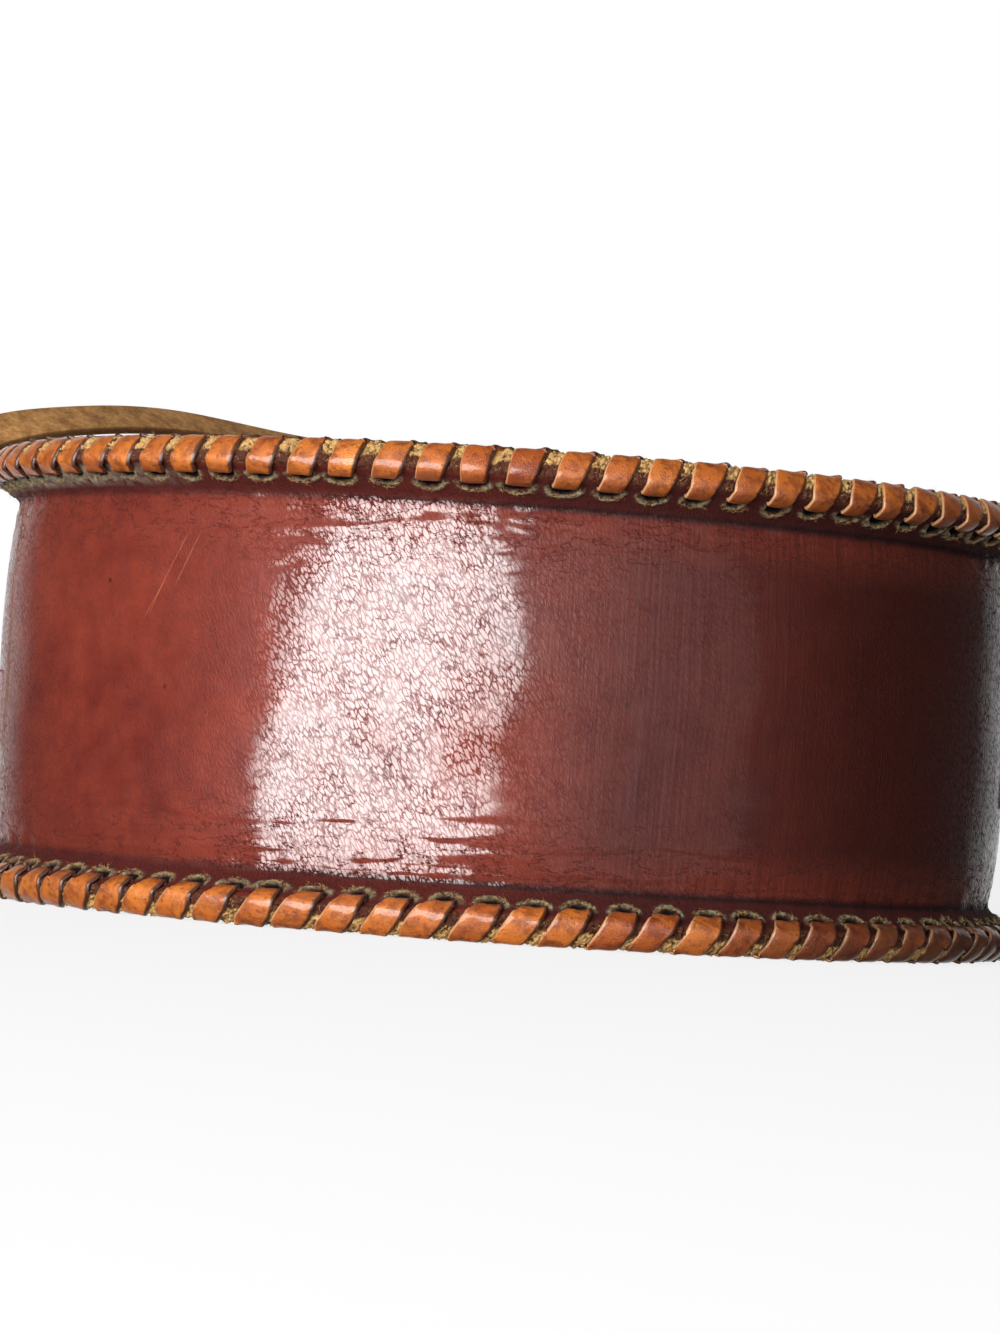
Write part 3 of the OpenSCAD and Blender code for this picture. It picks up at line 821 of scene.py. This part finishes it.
def make_rim(name, side, seed):
    spread = np.r_[-0.5, np.linspace(-GAP_SHARE, GAP_SHARE, GAP_RINGS)]
    gap = (np.arange(TURNS - 1)[:, None] + spread[None]).reshape(-1, 1)
    t = np.linspace(0, 1, RIM_POINTS)[None]
    v = RIM_FROM + RIM_DEEP * t
    s = FIRST_TURN + (gap + gap_share(gap, np.r_[v[0], RIM_BACK_V][None], side)) * LACE_PITCH
    open_part = 1 - ease((np.abs(gap - np.round(gap)) * LACE_PITCH - 1.7) / 0.9) + 0 * t
    grain = soft_grain(np.random.default_rng(seed), open_part.shape)
    swell = (1.3 + 1.35 * open_part) * np.sin(math.pi * (0.04 + 0.92 * t)) ** 0.4
    u = 11.9 + swell + 0.42 * grain * open_part
    v = v + 0.25 * np.roll(grain, 2, 0) * open_part
    back = np.zeros((len(s), len(RIM_BACK_V)))
    u = np.concatenate([u, back + RIM_BACK_U], 1)
    v = np.concatenate([v, back + RIM_BACK_V], 1)
    r, z = flare(u, v)
    values = {"grain": np.concatenate([grain * open_part, back], 1)[:, ::-1], "depth": v[:, ::-1]}
    return ring_mesh(name, place(side * s, r, side * z)[:, ::-1], values)


for edge, side in EDGES.items():
    welt = make_welt(edge + "_welt_strip", side)
    finish_piece(welt, RAW_LEATHER, "welt_leather", edge + "_welt")
    finish_piece(make_rim(edge + "_frayed_rim", side, 41 + side), RAW_RIM, "welt_leather")

# %% [markdown]
# ## Whip lacing
# One flat lace goes round each edge in close slanting turns: out of a slit in the cover, over the
# tip, down the lining side and back through. It could be an array of one stitch, but then every
# stitch would match; instead the whole lace is swept along its real path, with the leans above.
# Each turn gets its own width, slant and tilt from a seeded draw, which changes only while the
# lace is in its slit.

# %% Lace form
LACE_CUTS, LACE_AROUND = 3, 18
LACE_VARIES = {"slip": 0.55, "width": 0.06, "tilt": 0.09, "slant": 0.5, "tone": 1.0}
TONE_DRIFT = {1: 2.0, -1: 3.2}
LACE_SEED = {1: 31, -1: 37}
IN_SLIT, GATHER, BEVEL, SINK, LIE = 0.04, 0.22, 0.07, 0.15, -0.2


def smooth_through(knots, cuts):
    """A smooth curve through the knots, with that many points for each."""
    before, start = knots[:-3], knots[1:-2]
    end, after = knots[2:-1], knots[3:]
    parts = []
    for t in np.arange(cuts) / cuts:
        parts.append(0.5 * (2 * start + (end - before) * t
                            + (2 * before - 5 * start + 4 * end - after) * t * t
                            + (3 * start - before - 3 * end + after) * t ** 3))
    return np.stack(parts, 1).reshape(-1, knots.shape[1])


def unit(vectors):
    return vectors / np.linalg.norm(vectors, axis=-1, keepdims=True)


def frame_along(middle, way):
    """Unit vectors ahead along a path and square across it, the second as near way as it can be."""
    ahead = unit(np.gradient(middle, axis=0))
    return ahead, unit(way - (way * ahead).sum(-1, keepdims=True) * ahead)


def swept(middle, wide, thick, half, rise):
    """Points in metres, half out along wide and rise out along thick from each place in middle."""
    return middle[:, None] + (half[..., None] * wide[:, None] + rise[..., None] * thick[:, None]) * MM


# %% Lace mesh
def lace_path(side):
    """The lace's middle line as rows of u, v and turns gone."""
    knots = [(8.9, 3.9, -0.07)]
    for turn in range(TURNS):
        knots += [(u, v, turn + share) for (u, v), share in zip(ROUND, shares_of(turn, side))]
    knots = np.array(knots + [(8.9, 0.6, TURNS), (8.8, -0.4, TURNS + 0.01)])
    return smooth_through(knots, LACE_CUTS).T


def make_lace(name, side):
    draw = np.random.default_rng(LACE_SEED[side])
    u, v, gone = lace_path(side)
    turn = np.floor(gone + IN_SLIT).astype(int).clip(0, TURNS - 1)
    own = {key: draw.normal(0, size, TURNS)[turn] for key, size in LACE_VARIES.items()}
    over = np.sin(np.clip((gone + IN_SLIT) % 1, 0, 0.9) / 0.9 * math.pi)
    s = FIRST_TURN + gone * LACE_PITCH + own["slip"] * over + own["slant"] * over * (u - 9) / 5
    r, z = flare(u, v)
    middle = place(side * s, r, side * z)
    level = unit(place(side * (s + 1), r, side * z) - place(side * (s - 1), r, side * z))
    ahead, wide = frame_along(middle, level)
    across, through = rounded_box(LACE_AROUND, 0.45, 0.5)
    half = LACE_W / 2 * (1 + own["width"] * over - GATHER * (1 - over) ** 2)[:, None] * across[None]
    half = half * (1 - BEVEL * np.clip(through, 0, 1))
    dome = (0.1 + 0.16 * over)[:, None] * (1 - across ** 2)[None]
    tilted = ((own["tilt"] + LIE) * over)[:, None] * across[None]
    rise = LACE_T / 2 * through[None] + dome - SINK + tilted
    points = swept(middle, wide, np.cross(wide, ahead), half, rise)
    rightward = middle[:, 0] / (THROAT_R * MM)
    # Where the back edge's right end is painted darker: partly dirt, partly painted shade.
    soiled_and_shaded = np.clip(rightward, 0, 1) * (side < 0)
    values = {"across": side * np.broadcast_to(across[None], half.shape),
              "tone": (own["tone"] - TONE_DRIFT[side] * rightward)[:, None],
              "soiled_and_shaded": soiled_and_shaded[:, None], "over": over[:, None]}
    return ring_mesh(name, points, values)


# %% [markdown]
# ## Lace finish
# The lace is strip leather, bright orange-tan on its grain side, with darker stains where hands and
# grease have reached it. The mesh carries what the finish needs: `across` finds the two cut edges,
# one left pale and the other painted dark as shade, `tone` makes each turn its own and drifts
# darker to the right, `over` tells the slit from the open turn, near which the lace is painted
# darker as shade, and a fourth value darkens the back edge's right end, partly dirt and partly
# painted shade.

# %% Lace leather
def lace_leather(name):
    made = Finish(name, {"IOR": 1.5, "Specular IOR Level": 0.7, "Coat Weight": 0.7, "Coat Roughness": 0.16})
    across = made.attribute("across")
    grain = made.noise(1300, 5, 0.7)
    patches = made.noise(90, 4, 0.6)
    pores = made.cells(1500)
    tone = (made.attribute("tone") * 0.09 + 0.5 + (patches - 0.5) * 0.8).clamped()
    stains = made.noise(230, 6, 0.75).above(0.46, 0.6)
    pale = made.noise(420, 5, 0.75).above(0.58, 0.68)
    specks = 1 - made.cells(430, "F1", vector=made.pushed(300, 0.002)).above(0.12, 0.26)
    # Painted shade where the lace goes into its slit.
    inside = 1 - made.attribute("over").above(0.1, 0.45)
    cut = (0 - across).above(0.93, 0.985)
    # Partly dirt and partly painted shade on the back edge's right end.
    grime_and_shade = made.attribute("soiled_and_shaded").above(0.3, 0.8) * (0.5 + patches.above(0.35, 0.65) * 0.35)
    base = stained(
        blend(tone, (150, 58, 16), (236, 138, 46)), (stains * 0.7, 116, 42, 14),
        (pale * 0.45, 222, 150, 84), (specks * 0.6, 104, 40, 16), (inside * 0.7, 84, 36, 14),
        # The dark right cut edge is painted shade.
        (cut * 0.85, 214, 160, 108), (across.above(0.78, 0.9) * 0.9, 46, 18, 9),
        ((1 - pores.above(0, 0.1)) * 0.25, 110, 52, 24), (grime_and_shade, 52, 22, 10))
    height = grain + pores.above(0, 0.2) * 0.4 + patches * 1.6 + stains * 0.6 - specks * 0.5
    return made.done(base, 0.28 + grain * 0.16 + cut * 0.35 + grime_and_shade * 0.2, height, 0.16)


LACE_LEATHER = lace_leather("tan_lace_leather")
for edge, side in EDGES.items():
    lace = make_lace(edge + "_whip_lace", side)
    finish_piece(lace, LACE_LEATHER, "lace_leather", edge + "_lace")

# %% [markdown]
# ## Loose fibres
# Cut leather frays. Short curved hairs stand out of the raw rim between stitches and lie round
# the lip of every slit. They are thin three-sided tubes joined in one mesh, since real hair would
# not survive an export.

# %% Fibres
HAIR_STEPS, HAIR_SIDES = 5, 3
HAIR_LENGTHS = (0.5, 1.6)
RIM_HAIRS, LIP_HAIRS = 50, 30


def fibre_mesh(name, draw, roots, ways, radius):
    """Curved hairs from roots, each along its way and bending a little, as one mesh."""
    lengths = draw.uniform(*HAIR_LENGTHS, len(roots)) * MM
    t = np.linspace(0, 1, HAIR_STEPS)[None, :, None]
    bend = np.random.default_rng(len(roots)).normal(0, 0.4, roots.shape)[:, None]
    line = roots[:, None] + (ways[:, None] * t + bend * t ** 2) * lengths[:, None, None]
    aside = unit(np.cross(ways, np.array([0.3, 0.5, 0.8])))
    other = np.cross(ways, aside)
    sides = []
    for turn in np.arange(HAIR_SIDES) * 2 * math.pi / HAIR_SIDES:
        sides.append(line + (aside * math.cos(turn) + other * math.sin(turn))[:, None] * radius * (1.1 - t))
    verts = np.stack(sides, 2).reshape(-1, 3)
    step, k = np.meshgrid(np.arange(HAIR_STEPS - 1), np.arange(HAIR_SIDES), indexing="ij")
    a, b = step * HAIR_SIDES + k, step * HAIR_SIDES + (k + 1) % HAIR_SIDES
    one = np.stack([a, b, b + HAIR_SIDES, a + HAIR_SIDES], -1).reshape(-1, 4)
    starts = np.arange(len(roots)) * HAIR_STEPS * HAIR_SIDES
    faces = (starts[:, None, None] + one[None]).reshape(-1, 4).tolist()
    tip = (HAIR_STEPS - 1) * HAIR_SIDES
    for start in starts.tolist():
        faces.append((start + 2, start + 1, start))
        faces.append((start + tip, start + tip + 1, start + tip + 2))
    return add_mesh(name, verts.tolist(), faces, smooth=False)


# %% Where fibres grow
def on_flare(s, u, v, side):
    r, z = flare(u, v)
    return place(side * np.clip(s, -HALF_LEN, HALF_LEN), r, side * z)


def rim_fibres(name, side, seed):
    draw = np.random.default_rng(seed)
    count = TURNS * RIM_HAIRS
    gap = np.repeat(np.arange(TURNS), RIM_HAIRS)
    v = draw.uniform(-0.2, 8.4, count)
    u = LEATHER_W + 0.3 + 1.3 * np.sin((v - RIM_FROM) / RIM_DEEP * math.pi) ** 0.5
    s = FIRST_TURN + (gap + gap_share(gap, v, side)) * LACE_PITCH + draw.uniform(-1.9, 1.9, count)
    roots = on_flare(s, u, v, side)
    ways = unit(unit(on_flare(s, u + 1, v, side) - roots) + draw.normal(0, 0.8, roots.shape))
    return fibre_mesh(name, draw, roots, ways, 0.07 * MM)


def lip_fibres(name, side, seed):
    draw = np.random.default_rng(seed)
    count = TURNS * LIP_HAIRS
    turn = np.repeat(np.arange(TURNS), LIP_HAIRS)
    angle = draw.uniform(math.radians(-165), math.radians(-15), count)
    wide = draw.normal(1.0, 0.1, count)
    s = FIRST_TURN + turn * LACE_PITCH + PIT_W * wide * np.cos(angle)
    u = PIT_U + PIT_H * wide * np.sin(angle)
    roots = on_flare(s, u, -0.35, side)
    along = on_flare(s - np.sin(angle), u + 0.5 * np.cos(angle), -0.6, side) - roots
    ways = unit(unit(along) * draw.choice([-1, 1], count)[:, None] + draw.normal(0, 0.35, roots.shape))
    return fibre_mesh(name, draw, roots, ways, 0.06 * MM)


for edge, side in EDGES.items():
    finish_piece(rim_fibres(edge + "_rim_fibres", side, 50 + side), RAW_LEATHER, "welt_leather")
    finish_piece(lip_fibres(edge + "_slit_fibres", side, 60 + side), RAW_LEATHER, "cover_leather")

# %% [markdown]
# ## End caps
# Each stuffed end is closed by a leather cap, pushed out a little by the straw behind it. Rings of
# the section, shrunk towards its middle and lifted along the outline, make the dome.

# %% Caps
# Each ring's size and how far it is lifted, from under the cap to the middle of its dome
CAP_DOME = [(0.02, 0), (0.99, 0), (1, 0.6), (1, 1.8), (0.975, 2.4), (0.9, 2.6), (0.6, 3.4), (0.3, 3.9),
            (0.02, 4.0)]
CAP_AROUND = 200


def make_cap(name, sign):
    outer = [(crown(z), z) for z in np.linspace(0, GROOVE_Z, 8)]
    face = [(-share * WITHERS_PAD, z * FACE_Z) for share, z in FACE]
    upper = outer + face[::-1]
    around = upper + [(r, -z) for r, z in upper[-2:0:-1]]
    line = soft_line(around + [around[0]], CAP_AROUND, 1.0)[:-1]
    middle = np.array([-WITHERS_PAD / 2, 0.0])
    size, lift = np.array(CAP_DOME).T
    rings = (middle + (line - middle) * size[:, None, None])[:, ::sign]
    s = sign * (HALF_LEN + 0.05 + lift * 0.95)
    return ring_mesh(name, place(s[:, None], rings[..., 0], rings[..., 1]))


for name, sign in HANDS.items():
    finish_piece(make_cap(name + "_cap_leather", sign), PLAIN_LEATHER, "cover_leather", name + "_end_cap")

# %% [markdown]
# ## Withers pad
# A stuffed tongue bridges the opening, so the closed ends never pinch. It bends round with the
# withers and is rounded all along its rim, which the rounded rectangle gives in one formula.

# %% Pad
PAD_T, PAD_HALF, PAD_SPAN = 8.0, 44.0, 47.0
PAD_RINGS, PAD_AROUND = 60, 64


def make_pad():
    middle_r = WITHERS_R - WITHERS_PAD - 0.6 - PAD_T / 2
    angles = np.radians(90 + np.linspace(-PAD_SPAN, PAD_SPAN, PAD_RINGS))[:, None]
    across, through = rounded_box(PAD_AROUND, 0.35, 0.6)
    edge = np.clip((1 - np.abs(np.linspace(-1, 1, PAD_RINGS))) * 8, 0.02, 1)[:, None] ** 0.5
    r = middle_r + PAD_T / 2 * through * edge
    z = PAD_HALF * across * (0.9 + 0.1 * edge) + DEPTH / 2
    points = np.stack([r * np.cos(angles), r * np.sin(angles) + WITHERS_Y, z], -1) * MM
    return ring_mesh("withers_pad_cushion", points[:, ::-1])


pad = make_pad()
finish_piece(pad, PAD_LEATHER, "lining_leather", "withers_pad")

# %% [markdown]
# ## Closing strap
# The strap is riveted to the left end and lies thrown back over the collar, as it is left when
# the collar is open. It keeps that shape because thick strap leather is stiff. Its path is chosen
# point by point, each with the way the strap's width points there, so its twist is under control.

# %% Strap form
SEAT_Y = WITHERS_Y + WITHERS_R - 32
STRAP_W, STRAP_T = 16.0, 3.6
STRAP_Z = DEPTH / 2 + FACE_Z + 0.3 + STRAP_T / 2
STRAP_CUTS, STRAP_AROUND, POINTED = 14, 28, 9
TAIL_TOP, TAIL_WAY = (-214.0, -5.0, 100.0), (-0.65, 0.76, 0.0)
HOLES, HOLE_PITCH, HOLE_R, HOLE_SIDES = 4, 14.0, 2.25, 32
TAIL = [(TAIL_TOP[0], TAIL_TOP[1], TAIL_TOP[2] - k * HOLE_PITCH) for k in range(HOLES + 1)]
ROUTE = [(-42, SEAT_Y, STRAP_Z, 0, 1, 0), (-35, SEAT_Y, STRAP_Z, 0, 1, 0), (-28, SEAT_Y, STRAP_Z, 0, 1, 0),
         (-18, SEAT_Y, STRAP_Z + 3.5, 0, 1, 0), (-11, SEAT_Y - 1, STRAP_Z + 12, 0, 1, 0),
         (-14, SEAT_Y - 3, STRAP_Z + 23, 0, 1, 0.1), (-34, SEAT_Y - 10, STRAP_Z + 31, -0.1, 0.97, 0.25),
         (-82, 150, 166, -0.5, 0.7, 0.45), (-125, 102, 168, -0.65, 0.55, 0.5),
         (-157, 60, 163, -0.66, 0.55, 0.5), (-183, 30, 154, -0.68, 0.5, 0.5),
         (-200, 10, 138, -0.72, 0.6, 0.25), (-211, -2, 118) + TAIL_WAY]
ROUTE += [spot + TAIL_WAY for spot in TAIL]


def make_strap():
    knots = np.array([ROUTE[0]] + ROUTE + [ROUTE[-1]], float)
    line = np.concatenate([smooth_through(knots, STRAP_CUTS), knots[-1:]])
    middle = line[:, :3]
    ahead, wide = frame_along(middle, line[:, 3:])
    across, through = rounded_box(STRAP_AROUND, 0.22, 0.4)
    left = np.linalg.norm(middle - middle[-1], axis=1)
    narrow = 0.45 + 0.55 * np.sin(np.clip(left / POINTED, 0, 1) * math.pi / 2)
    half = STRAP_W / 2 * narrow[:, None] * across[None]
    rise = STRAP_T / 2 * through[None] + 0 * half
    points = swept(middle * MM, wide, np.cross(ahead, wide), half, rise)
    print("strap length, mm:", round(float(np.linalg.norm(np.diff(middle, axis=0), axis=1).sum())))
    values = {"across": across[::-1], "face": through[::-1]}
    return ring_mesh("closing_strap_leather", points[:, ::-1], values)


# %% Strap holes
def punch(piece, places, way, radius, depth):
    """Cuts round holes through a piece, then bakes the cut into its mesh."""
    turn = Vector(way).to_track_quat("Z", "Y").to_matrix().to_4x4()
    x, y = [radius * wave for wave in rounded_box(HOLE_SIDES, 1, 1)]
    rings = np.array([np.stack([x, y, 0 * x + z], -1) for z in (depth, -depth)])
    cutters = []
    for spot in places:
        cutter = ring_mesh("punch", rings)
        cutter.matrix_world = Matrix.Translation(spot) @ turn
        cut = piece.modifiers.new("hole", "BOOLEAN")
        cut.object = cutter
        cut.solver = "EXACT"
        cutters.append(cutter)
    whole = bpy.data.meshes.new_from_object(piece.evaluated_get(bpy.context.evaluated_depsgraph_get()))
    piece.modifiers.clear()
    piece.data = whole
    for cutter in cutters:
        bpy.data.objects.remove(cutter)


strap = make_strap()
square_on = (TAIL_WAY[1], -TAIL_WAY[0], 0.0)
punch(strap, [Vector(spot) * MM for spot in TAIL[:HOLES]], square_on, HOLE_R * MM, 6 * MM)
print("strap points after punching:", len(strap.data.vertices))

# %% [markdown]
# ## Strap finish
# One side of a strap is grain and the other is flesh, the fibrous underside of the hide. The
# stored `face` value tells them apart, and the cut edges are burnished dark.

# %% Strap leather
def strap_leather(name):
    made = Finish(name, {"IOR": 1.45})
    flesh = 1 - made.attribute("face").above(-0.2, 0.2)
    edge = made.attribute("across").size().above(0.93, 0.99)
    fibre = made.noise(520, 7, 0.75)
    patches = made.noise(36, 5, 0.6)
    grain = made.cells(800)
    smooth = blend(patches.above(0.3, 0.7), (140, 98, 46), (184, 138, 74))
    rough_side = blend(fibre.above(0.3, 0.7), (150, 100, 50), (226, 170, 102))
    rough_side = stained(rough_side, (made.noise(150, 6, 0.7).above(0.42, 0.62) * 0.65, 112, 68, 28))
    base = blend(flesh, smooth, rough_side)
    base = stained(base, (edge * 0.7, 92, 58, 28))
    height = grain.above(0, 0.2) * (1 - flesh) + fibre * flesh * 2.5 + patches
    return made.done(base, (0.42 + flesh * 0.4 + fibre * 0.1).clamped(), height, 0.15)


STRAP_LEATHER = strap_leather("brown_strap_leather")
finish_piece(strap, STRAP_LEATHER, "strap_leather", "closing_strap")

# %% [markdown]
# ## Hame loops
# A loop on each side keeps the hame in place. It is a straight strip with two sewn feet that rises
# into a box, so a rounded section is carried along a flat path that bends softly at each corner.

# %% Loops
LOOP_FROM, LOOP_TO, FOOT = 13.0 / SIDE_R, 68.0 / SIDE_R, 12.0 / SIDE_R
LOOP_GAP, LOOP_T, LOOP_H, LOOP_Z = 16.0, 3.0, 24.0, 59.0
LOOP_R, LOOP_RINGS, LOOP_AROUND = SIDE_R + 0.3, 130, 32


def on_side(r, angle):
    """x and y at radius r on the right side arc, angle up from its widest place."""
    return r * math.cos(angle) + SIDE_X, r * math.sin(angle) + THROAT_Y


def make_loop(name, sign):
    low, high = LOOP_R + LOOP_T / 2, LOOP_R + LOOP_GAP + LOOP_T / 2
    inset = LOOP_T / 2 / SIDE_R
    corners = [(low, LOOP_FROM - FOOT), (low, LOOP_FROM + inset), (high, LOOP_FROM + inset),
               (high, LOOP_TO - inset), (low, LOOP_TO - inset), (low, LOOP_TO + FOOT)]
    line = soft_line([on_side(r, angle) for r, angle in corners], LOOP_RINGS, 1.0)
    across, through = rounded_box(LOOP_AROUND, 0.16, 0.4)
    plan = line[:, None] + through[None, :, None] * normals_of(line)[:, None] * LOOP_T / 2
    z = np.broadcast_to(across * LOOP_H / 2 + LOOP_Z, plan.shape[:2])
    points = np.stack([sign * plan[..., 0], plan[..., 1], z], -1) * MM
    return ring_mesh(name, points[:, ::-sign])


for name, sign in HANDS.items():
    finish_piece(make_loop(name + "_loop_leather", sign), PLAIN_LEATHER, "cover_leather", name + "_hame_loop")

# %% [markdown]
# ## Stitches
# The chape and the loops' feet are sewn with waxed linen. A stitch is a short bent cylinder that
# dips into the leather at both ends, and a row of them is one piece.

# %% Linen thread
def linen_thread(name):
    made = Finish(name, {"IOR": 1.4})
    twist = made.noise(2400, 3, 0.6)
    base = blend(twist.above(0.3, 0.7), (150, 124, 84), (206, 182, 138))
    return made.done(base, 0.6 + twist * 0.2, twist, 0.1)


# %% Stitch rows
STITCH_LEN, STITCH_GAP, STITCH_R = 3.2, 1.0, 0.42
STITCH_RINGS, STITCH_SIDES = 9, 8
THREAD = linen_thread("waxed_linen_thread")


def stitch_row(name, slot, start, end, outward):
    """A row of stitches in metres from start to end, standing out along outward."""
    start, end, outward = (np.array(value, float) for value in (start, end, outward))
    run = end - start
    length = np.linalg.norm(run)
    ahead = run / length
    step = np.linspace(-1, 1, STITCH_RINGS)
    dip = STITCH_R * (0.7 - 1.5 * np.abs(step) ** 3)
    line = np.outer(step * STITCH_LEN / 2, ahead) + np.outer(dip, outward)
    wide, high = rounded_box(STITCH_SIDES, 1, 1)
    section = STITCH_R * (np.outer(wide, np.cross(ahead, outward)) + np.outer(high, outward))
    stitch = (line[:, None] + section[None]).reshape(-1, 3) * MM
    count = max(1, int(length / ((STITCH_LEN + STITCH_GAP) * MM)))
    points, faces = [], []
    for k in range(count):
        faces += ring_faces(STITCH_RINGS, STITCH_SIDES, len(points))
        points += (start + run * (k + 0.5) / count + stitch).tolist()
    finish_piece(add_mesh(name, points, faces), THREAD, slot)


# %% Sewn rows
low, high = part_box("buckle_chape")
for k, y in enumerate((low[1] + 1.6 * MM, high[1] - 1.6 * MM)):
    ends = [(high[0] - back * MM, y, high[2] - 3.5 * MM) for back in (9.5, 1.0)]
    stitch_row("chape_stitches_%d" % k, "strap_leather", *ends, (0, 0, 1))
for name, sign in HANDS.items():
    for k, angle in enumerate((LOOP_FROM - FOOT / 2, LOOP_TO + FOOT / 2)):
        for row, shift in enumerate((-0.8, 0.8)):
            z = LOOP_Z + shift * LOOP_H / 2
            ends = [on_side(LOOP_R + LOOP_T, angle + FOOT * share) for share in (-0.42, 0.42)]
            ends = [(sign * x * MM, y * MM, z * MM) for x, y in ends]
            out = (sign * math.cos(angle), math.sin(angle), 0)
            stitch_row("%s_loop_stitches_%d%d" % (name, k, row), "cover_leather", *ends, out)

# %% [markdown]
# ## Metal and the pieces kept from the model
# The buckle is blacked iron that has rusted and worn bright on its corners; the rivets are copper
# gone brown. Their shapes are already right in the model, so they only get a finish, and a small
# bevel to catch light. The straw is hidden, but it has a finish of its own for cutaway views.

# %% Metals, straw and kept nodes
def old_metal(name, dark, bright, rust, metallic):
    made = Finish(name, {})
    patches = made.noise(260, 6, 0.65)
    pits = made.noise(1400, 5, 0.7)
    rusty = patches.above(0.5, 0.66)
    base = blend(pits.above(0.3, 0.7), dark, bright)
    made.set("Metallic", (1 - rusty * 0.8) * metallic)
    rough = 0.36 + rusty * 0.4 + pits * 0.12
    return made.done(blend(rusty, base, rust), rough, pits + rusty, 0.12)


def straw_stuff(name):
    made = Finish(name, {})
    stalks = made.noise(420, 6, 0.7, vector=made.stretched((1, 1, 0.15)))
    base = blend(stalks.above(0.3, 0.7), (150, 116, 58), (222, 194, 128))
    return made.done(base, 0.7 + stalks * 0.2, stalks, 0.8)


IRON = old_metal("worn_blacked_iron", (58, 54, 50), (122, 116, 108), (96, 54, 34), 0.95)
COPPER = old_metal("browned_copper", (128, 78, 52), (188, 118, 80), (84, 50, 36), 0.9)
KEPT = {"straw_filling": straw_stuff("rye_straw"), "buckle_chape": PLAIN_LEATHER,
        "chape_keeper": PLAIN_LEATHER, "buckle_frame": IRON, "buckle_roller": IRON, "buckle_tongue": IRON,
        "strap_rivets": COPPER, "chape_rivets": COPPER, "left_loop_rivets": COPPER,
        "right_loop_rivets": COPPER}
WORN_CORNER = 0.3
for node, material in KEPT.items():
    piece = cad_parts[node]
    dress(piece, material)
    if node != "straw_filling":
        bevel = piece.modifiers.new("worn_corners", "BEVEL")
        bevel.width = WORN_CORNER * MM
        bevel.segments = 2
print("kept from the model:", ", ".join(KEPT))

# %% [markdown]
# ## Floor, light and surroundings
# Dark glossy leather shows its surroundings more than its colour. A wide, low elliptical softbox
# at the front left, reaching below the floor, draws the broad highlight down the band, and a weak
# one fills the right. What the gloss mirrors is white behind the collar, which gives the pale rims
# at both sides, and dark in front of it, so that the turned-away leather stays deep. Reflections
# leave the floor out, because that dark goes on below it. To the camera the floor is nearly white,
# and it keeps the shadow.

# %% Stage
# Each lamp's turn round from the front in degrees, distance, height, size, power and roll
LAMPS = {"key_softbox": (-25, 1.7, 0.12, (1.55, 1.9), 66.0, -30),
         "right_card": (28, 1.8, 0.12, (1.7, 1.6), 1.2, 0)}
LIT = Vector((0, 0, 0.07))


def area_light(name, turn, distance, height, size, power, roll):
    data = bpy.data.lights.new(name, "AREA")
    data.shape = "ELLIPSE"
    data.size, data.size_y = size
    data.energy = power
    light = bpy.data.objects.new(name, data)
    scene.collection.objects.link(light)
    turn = math.radians(turn)
    light.location = (math.sin(turn) * distance, -math.cos(turn) * distance, height)
    facing = (LIT - light.location).to_track_quat("-Z", "Y").to_matrix()
    light.rotation_euler = (facing @ Matrix.Rotation(math.radians(roll), 3, "Z")).to_euler()
    light.visible_camera = False
    print(name, "power:", power)


for name, values in LAMPS.items():
    area_light(name, *values)

# %% Surroundings
WORLD_LEVEL, FRONT_LEVEL, BEHIND_FROM = 0.24, 0.02, 0.68
FLOOR_HALF, FLOOR_GREY, FLOOR_GLOW = 9, 0.75, 0.82


def light_path(tree, kind):
    return Wire.node(tree, "LightPath", out="Is " + kind + " Ray")


def make_world():
    world = bpy.data.worlds.new("studio")
    scene.world = world
    world.use_nodes = True
    tree = world.node_tree
    toward = Wire.node(tree, "TexCoord", out="Generated")
    behind = Wire.node(tree, "SeparateXYZ", None, {"Vector": toward}, out="Y").above(BEHIND_FROM, 1.0)
    mirrored = FRONT_LEVEL + behind * (1 - FRONT_LEVEL)
    shown = (light_path(tree, "Camera") + light_path(tree, "Transmission")).clamped()
    shiny = light_path(tree, "Glossy")
    level = shown + (1 - shown) * (shiny * mirrored + (1 - shiny) * WORLD_LEVEL)
    background = tree.nodes["Background"]
    background.inputs["Color"].default_value = (1, 1, 1, 1)
    tree.links.new(level.socket, background.inputs["Strength"])


def make_floor():
    corners = [(x * FLOOR_HALF, y * FLOOR_HALF, 0) for x, y in ((-1, -1), (1, -1), (1, 1), (-1, 1))]
    floor = add_mesh("floor", corners, [(0, 1, 2, 3)], smooth=False)
    material = bpy.data.materials.new("white_sweep")
    material.use_nodes = True
    tree = material.node_tree
    shader = tree.nodes["Principled BSDF"]
    shader.inputs["Base Color"].default_value = (FLOOR_GREY, FLOOR_GREY, FLOOR_GREY, 1)
    shader.inputs["Roughness"].default_value = 0.9
    glow = Wire.node(tree, "Emission")
    plain = Wire(tree, shader.outputs[0])
    both = Wire.node(tree, "MixShader", None, {0: light_path(tree, "Camera") * FLOOR_GLOW, 1: plain, 2: glow})
    tree.links.new(both.socket, tree.nodes["Material Output"].inputs["Surface"])
    dress(floor, material)
    floor.visible_glossy = False


make_world()
make_floor()
scene.view_settings.view_transform = "Standard"
print("floor, m:", 2 * FLOOR_HALF, "light from the surroundings:", WORLD_LEVEL)
